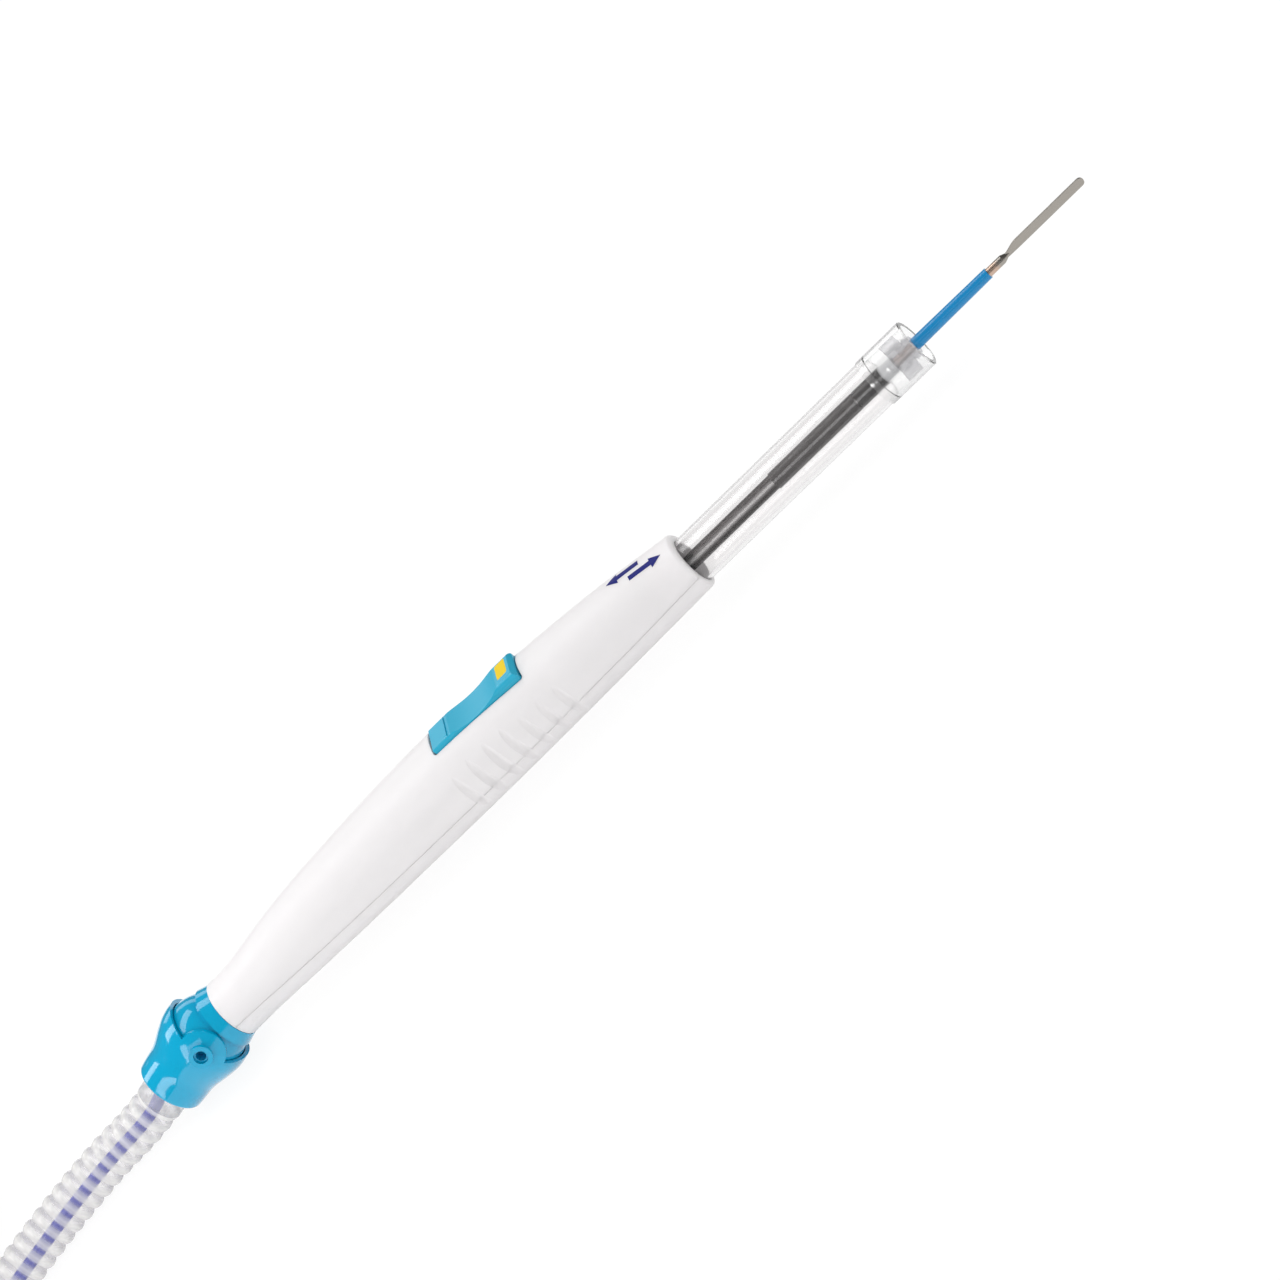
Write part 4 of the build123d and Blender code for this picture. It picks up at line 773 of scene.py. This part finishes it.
def clear_plastic(name, colour, roughness):
    """Thick clear plastic that refracts. Light on its way to what is inside passes straight through."""
    material, tree, output = new_material(name)
    where = add_node(tree, "ShaderNodeTexCoord")
    ripple = add_node(
        tree,
        "ShaderNodeTexNoise",
        {"Scale": 1000 / RIPPLE_WAVE_MM, "Detail": 2.0},
        {"Vector": where.outputs["Object"]},
    )
    bend = add_node(
        tree,
        "ShaderNodeBump",
        {"Strength": 1.0, "Distance": RIPPLE_HEIGHT_MM * MM},
        {"Height": ripple.outputs["Fac"]},
    )
    glass = add_node(
        tree,
        "ShaderNodeBsdfPrincipled",
        {
            "Base Color": ink(colour),
            "Roughness": roughness,
            "IOR": 1.49,
            "Transmission Weight": 1.0,
        },
        {"Normal": bend.outputs["Normal"]},
    )
    rays = add_node(tree, "ShaderNodeLightPath")
    lighting = add_node(
        tree,
        "ShaderNodeMath",
        links={0: rays.outputs["Is Shadow Ray"], 1: rays.outputs["Is Diffuse Ray"]},
        operation="MAXIMUM",
    )
    clear = add_node(tree, "ShaderNodeBsdfTransparent", {"Color": ink("#F4F4F4")})
    tube = add_node(
        tree,
        "ShaderNodeMixShader",
        links={0: lighting.outputs[0], 1: glass.outputs[0], 2: clear.outputs[0]},
    )
    tree.links.new(tube.outputs[0], output.inputs["Surface"])
    return material


clear_tube = clear_plastic("clear_extruded_polycarbonate", "#F4F3F3", 0.06)
clear_tip = clear_plastic("clear_moulded_polycarbonate", "#FAFAFA", 0.17)
cuff_film = clear_film("clear_cuff_film", 0.22, 0.22, slant_share=0.4)
dress(clear_tube, "nozzle_tube")
dress(clear_tip, "nozzle_tip")
dress(cuff_film, "hose_cuff")
print("clear materials", clear_tube.name, clear_tip.name, cuff_film.name)

# %% [markdown]
# ## Ball catches
# Two tiny steel balls show as bright dots behind the clear wall: one in the socket that grips the
# electrode, one in the collar in front of it. They are let halfway into their pieces. The operator
# that makes a ball leaves its faces in any order, so a helper sorts them, and each run gives the same
# mesh.

# %% Ball catches
BALL_RADIUS = 0.65
BALL_LEAN = radians(30)


def sort_faces(shape):
    """Puts a shape's faces in the order of their first two points."""
    shape.verts.index_update()
    count = len(shape.verts)
    shape.faces.sort(key=lambda face: face.verts[0].index * count + face.verts[1].index)


def ball_catch(name, along, depth):
    """A small steel ball on the pencil's near side, depth from the axis to its middle."""
    ball = bmesh.new()
    bmesh.ops.create_uvsphere(ball, u_segments=20, v_segments=12, radius=BALL_RADIUS * MM)
    middle = place(along, -depth * cos(BALL_LEAN), AXIS_HEIGHT + depth * sin(BALL_LEAN))
    bmesh.ops.translate(ball, verts=ball.verts, vec=middle)
    for face in ball.faces:
        face.smooth = True
    sort_faces(ball)
    mesh = bpy.data.meshes.new(name)
    ball.to_mesh(mesh)
    ball.free()
    print(name, "at", [round(value, 4) for value in middle])
    return link_piece(name, mesh, "nozzle", bright_steel)


bright_steel = drawn_metal("polished_ball_steel", "#F4F4F4", 0.12, 0.2, 0.001)
ball_catch("socket_ball", along=238.5, depth=2.0)
ball_catch("collar_ball", along=244.0, depth=1.9)

# %% [markdown]
# ## Printed arrows
# Two small navy arrows in front of the rocker show that the nozzle slides both ways. They are pad
# printed, so they follow the shell's curve with hardly any thickness. Each is laid out as rows of
# points, dropped on the shell from above and given the ink's thickness.

# %% Arrows on the shell
ARROW_LENGTH = 10.0
HEAD_LENGTH = 3.4
ARROW_COLUMNS = 24
ACROSS_SHARES = (-1, -0.33, 0.33, 1)
NARROWEST_HALF = 0.02
SHOULDER_STEP = 0.001
ABOVE_HANDLE = 60
INK_GAP = 0.02
INK_THICKNESS = 0.03
SAME_SPOT = 0.001
navy_ink = moulded("navy_pad_print", "#141C78", 0.4, 1.0, 0.002, sheen=0.2)
shell_mesh = bmesh.new()
shell_mesh.from_mesh(nodes["handle_upper_shell"].data)
bmesh.ops.remove_doubles(shell_mesh, verts=shell_mesh.verts, dist=SAME_SPOT * MM)
shell_tree = BVHTree.FromBMesh(shell_mesh)


def printed_arrow(name, tail_along, aside, way, half_head, half_shaft):
    """A thin arrow on the handle's top, from its tail's place, pointing forwards (1) or back (-1)."""
    flat = bmesh.new()
    rows = []
    for number in range(ARROW_COLUMNS + 1):
        step = number / ARROW_COLUMNS * ARROW_LENGTH
        if step < ARROW_LENGTH - HEAD_LENGTH:
            half = half_shaft
        else:
            half = max(half_head * (ARROW_LENGTH - step) / HEAD_LENGTH, NARROWEST_HALF)
        rows.append((step, half))
    split = next(i for i, (step, half) in enumerate(rows) if half > half_shaft)
    rows.insert(split, (rows[split][0] - SHOULDER_STEP, half_shaft))
    last = None
    for step, half in rows:
        line = []
        for share in ACROSS_SHARES:
            start = place(tail_along + way * step, aside + share * half, ABOVE_HANDLE)
            hit, normal = shell_tree.ray_cast(start, Vector((0, 0, -1)))[:2]
            line.append(flat.verts.new(hit + normal * INK_GAP * MM))
        if last:
            for i in range(len(ACROSS_SHARES) - 1):
                flat.faces.new((last[i], line[i], line[i + 1], last[i + 1]))
        last = line
    bmesh.ops.recalc_face_normals(flat, faces=flat.faces)
    if sum(face.normal.z for face in flat.faces) < 0:
        bmesh.ops.reverse_faces(flat, faces=flat.faces)
    film = bmesh.ops.extrude_face_region(flat, geom=flat.faces[:])
    lifted = [v for v in film["geom"] if isinstance(v, bmesh.types.BMVert)]
    bmesh.ops.translate(flat, verts=lifted, vec=(0, 0, INK_THICKNESS * MM))
    bmesh.ops.recalc_face_normals(flat, faces=flat.faces)
    sort_faces(flat)
    mesh = bpy.data.meshes.new(name)
    flat.to_mesh(mesh)
    flat.free()
    print(name, len(mesh.polygons), "faces")
    return link_piece(name, mesh, "handle", navy_ink)


printed_arrow("arrow_back", tail_along=164.9, aside=0.75, way=-1, half_head=2.2, half_shaft=1.0)
printed_arrow("arrow_forward", tail_along=161.1, aside=-2.45, way=1, half_head=1.6, half_shaft=0.72)
shell_mesh.free()

# %% [markdown]
# ## Studio floor
# A product cut-out has a pure white ground. The floor shows white to the camera and in glass and
# metal, and keeps a soft part of the shadow.

# %% Floor
FLOOR_HALF = 4.0
WHITE_SHARE = 0.88
FLOOR_GLOW = 1.04
floor_white, tree, output = new_material("white_studio_floor")
seen = add_node(tree, "ShaderNodeLightPath")
either = add_node(
    tree,
    "ShaderNodeMath",
    links={0: seen.outputs["Is Camera Ray"], 1: seen.outputs["Is Glossy Ray"]},
    operation="MAXIMUM",
)
any_way = add_node(
    tree,
    "ShaderNodeMath",
    links={0: either.outputs[0], 1: seen.outputs["Is Transmission Ray"]},
    operation="MAXIMUM",
)
share_seen = add_node(
    tree, "ShaderNodeMath", {1: WHITE_SHARE}, {0: any_way.outputs[0]}, operation="MULTIPLY"
)
matte = add_node(tree, "ShaderNodeBsdfDiffuse", {"Color": ink("#F4F4F4")})
glow = add_node(tree, "ShaderNodeEmission", {"Color": ink("#FFFFFF"), "Strength": FLOOR_GLOW})
ground = add_node(
    tree,
    "ShaderNodeMixShader",
    links={0: share_seen.outputs[0], 1: matte.outputs[0], 2: glow.outputs[0]},
)
tree.links.new(ground.outputs[0], output.inputs["Surface"])
floor_mesh = bpy.data.meshes.new("studio_floor")
floor_corners = [
    (-FLOOR_HALF, -FLOOR_HALF, 0),
    (FLOOR_HALF, -FLOOR_HALF, 0),
    (FLOOR_HALF, FLOOR_HALF, 0),
    (-FLOOR_HALF, FLOOR_HALF, 0),
]
floor_mesh.from_pydata(floor_corners, [], [(0, 1, 2, 3)])
floor_mesh.materials.append(floor_white)
studio_floor = bpy.data.objects.new("studio_floor", floor_mesh)
bpy.context.scene.collection.objects.link(studio_floor)
print("floor", 2 * FLOOR_HALF, "m wide")

# %% [markdown]
# ## World light
# The room gives an even light. The camera and clear plastic see it pure white, and glossy surfaces see
# it dark, so that only the lamps make highlights.

# %% World
ROOM_LIGHT = 0.6
ROOM_MIRRORED = 0.12
ROOM_SEEN = 1.0
world = bpy.data.worlds.new("studio_world")
bpy.context.scene.world = world
world.use_nodes = True
tree = world.node_tree
tree.nodes.clear()
output = tree.nodes.new("ShaderNodeOutputWorld")
seen = add_node(tree, "ShaderNodeLightPath")
either = add_node(
    tree,
    "ShaderNodeMath",
    links={0: seen.outputs["Is Camera Ray"], 1: seen.outputs["Is Transmission Ray"]},
    operation="MAXIMUM",
)
light = add_node(tree, "ShaderNodeBackground", {"Color": ink("#FFFFFF"), "Strength": ROOM_LIGHT})
mirrored = add_node(
    tree, "ShaderNodeBackground", {"Color": ink("#FFFFFF"), "Strength": ROOM_MIRRORED}
)
white = add_node(tree, "ShaderNodeBackground", {"Color": ink("#FFFFFF"), "Strength": ROOM_SEEN})
dim = add_node(
    tree,
    "ShaderNodeMixShader",
    links={0: seen.outputs["Is Glossy Ray"], 1: light.outputs[0], 2: mirrored.outputs[0]},
)
sky = add_node(
    tree,
    "ShaderNodeMixShader",
    links={0: either.outputs[0], 1: dim.outputs[0], 2: white.outputs[0]},
)
tree.links.new(sky.outputs[0], output.inputs["Surface"])
print("room light", ROOM_LIGHT, "on matte surfaces,", ROOM_MIRRORED, "in glossy ones")

# %% [markdown]
# ## Lamps
# One large soft lamp above gives the long highlight on the handle. Weaker ones from the near and the
# far side keep both edges readable, two behind make the patches of light on the swivel, and one in
# front lights the nozzle's open end. Each call says where a lamp is, what it faces, its width and
# height, all in metres, and its power in watts. The Standard view shows colours as they were picked.


# %% Lamps
def soft_lamp(name, spot, target, width, height, power):
    """A rectangular soft lamp that faces a target."""
    data = bpy.data.lights.new(name, "AREA")
    data.shape = "RECTANGLE"
    data.size = width
    data.size_y = height
    data.energy = power
    lamp = bpy.data.objects.new(name, data)
    bpy.context.scene.collection.objects.link(lamp)
    way = (Vector(spot) - Vector(target)).normalized()
    lamp.matrix_world = Matrix.Translation(spot) @ way.to_track_quat("Z", "Y").to_matrix().to_4x4()
    print(name, power, "W at", spot)


SWIVEL_SPOT = (-0.16, 0, 0)
soft_lamp("key_softbox", (-0.3, 0.2, 1.15), (-0.05, 0, 0), 1.2, 0.4, 4.5)
soft_lamp("near_softbox", (-0.42, -1.0, 0.58), (-0.1, 0, 0), 0.8, 0.26, 1.0)
soft_lamp("far_softbox", (-0.4, 1.1, 0.6), (0, 0, 0), 1.2, 0.35, 1.6)
soft_lamp("rear_near_softbox", (-0.98, -0.77, 0.45), SWIVEL_SPOT, 0.35, 0.8, 3.0)
soft_lamp("rear_top_softbox", (-0.92, 0.27, 0.9), SWIVEL_SPOT, 0.35, 0.7, 2.8)
soft_lamp("front_softbox", (0.9, -0.3, 0.22), (0, 0, 0), 0.3, 0.3, 0.8)
view = bpy.context.scene.view_settings
view.view_transform = "Standard"

# %% [markdown]
# ## The end
# The view layer is brought up to date. The dressed model has to stay in the solids'
# box.

# %% Finish
bpy.context.view_layer.update()
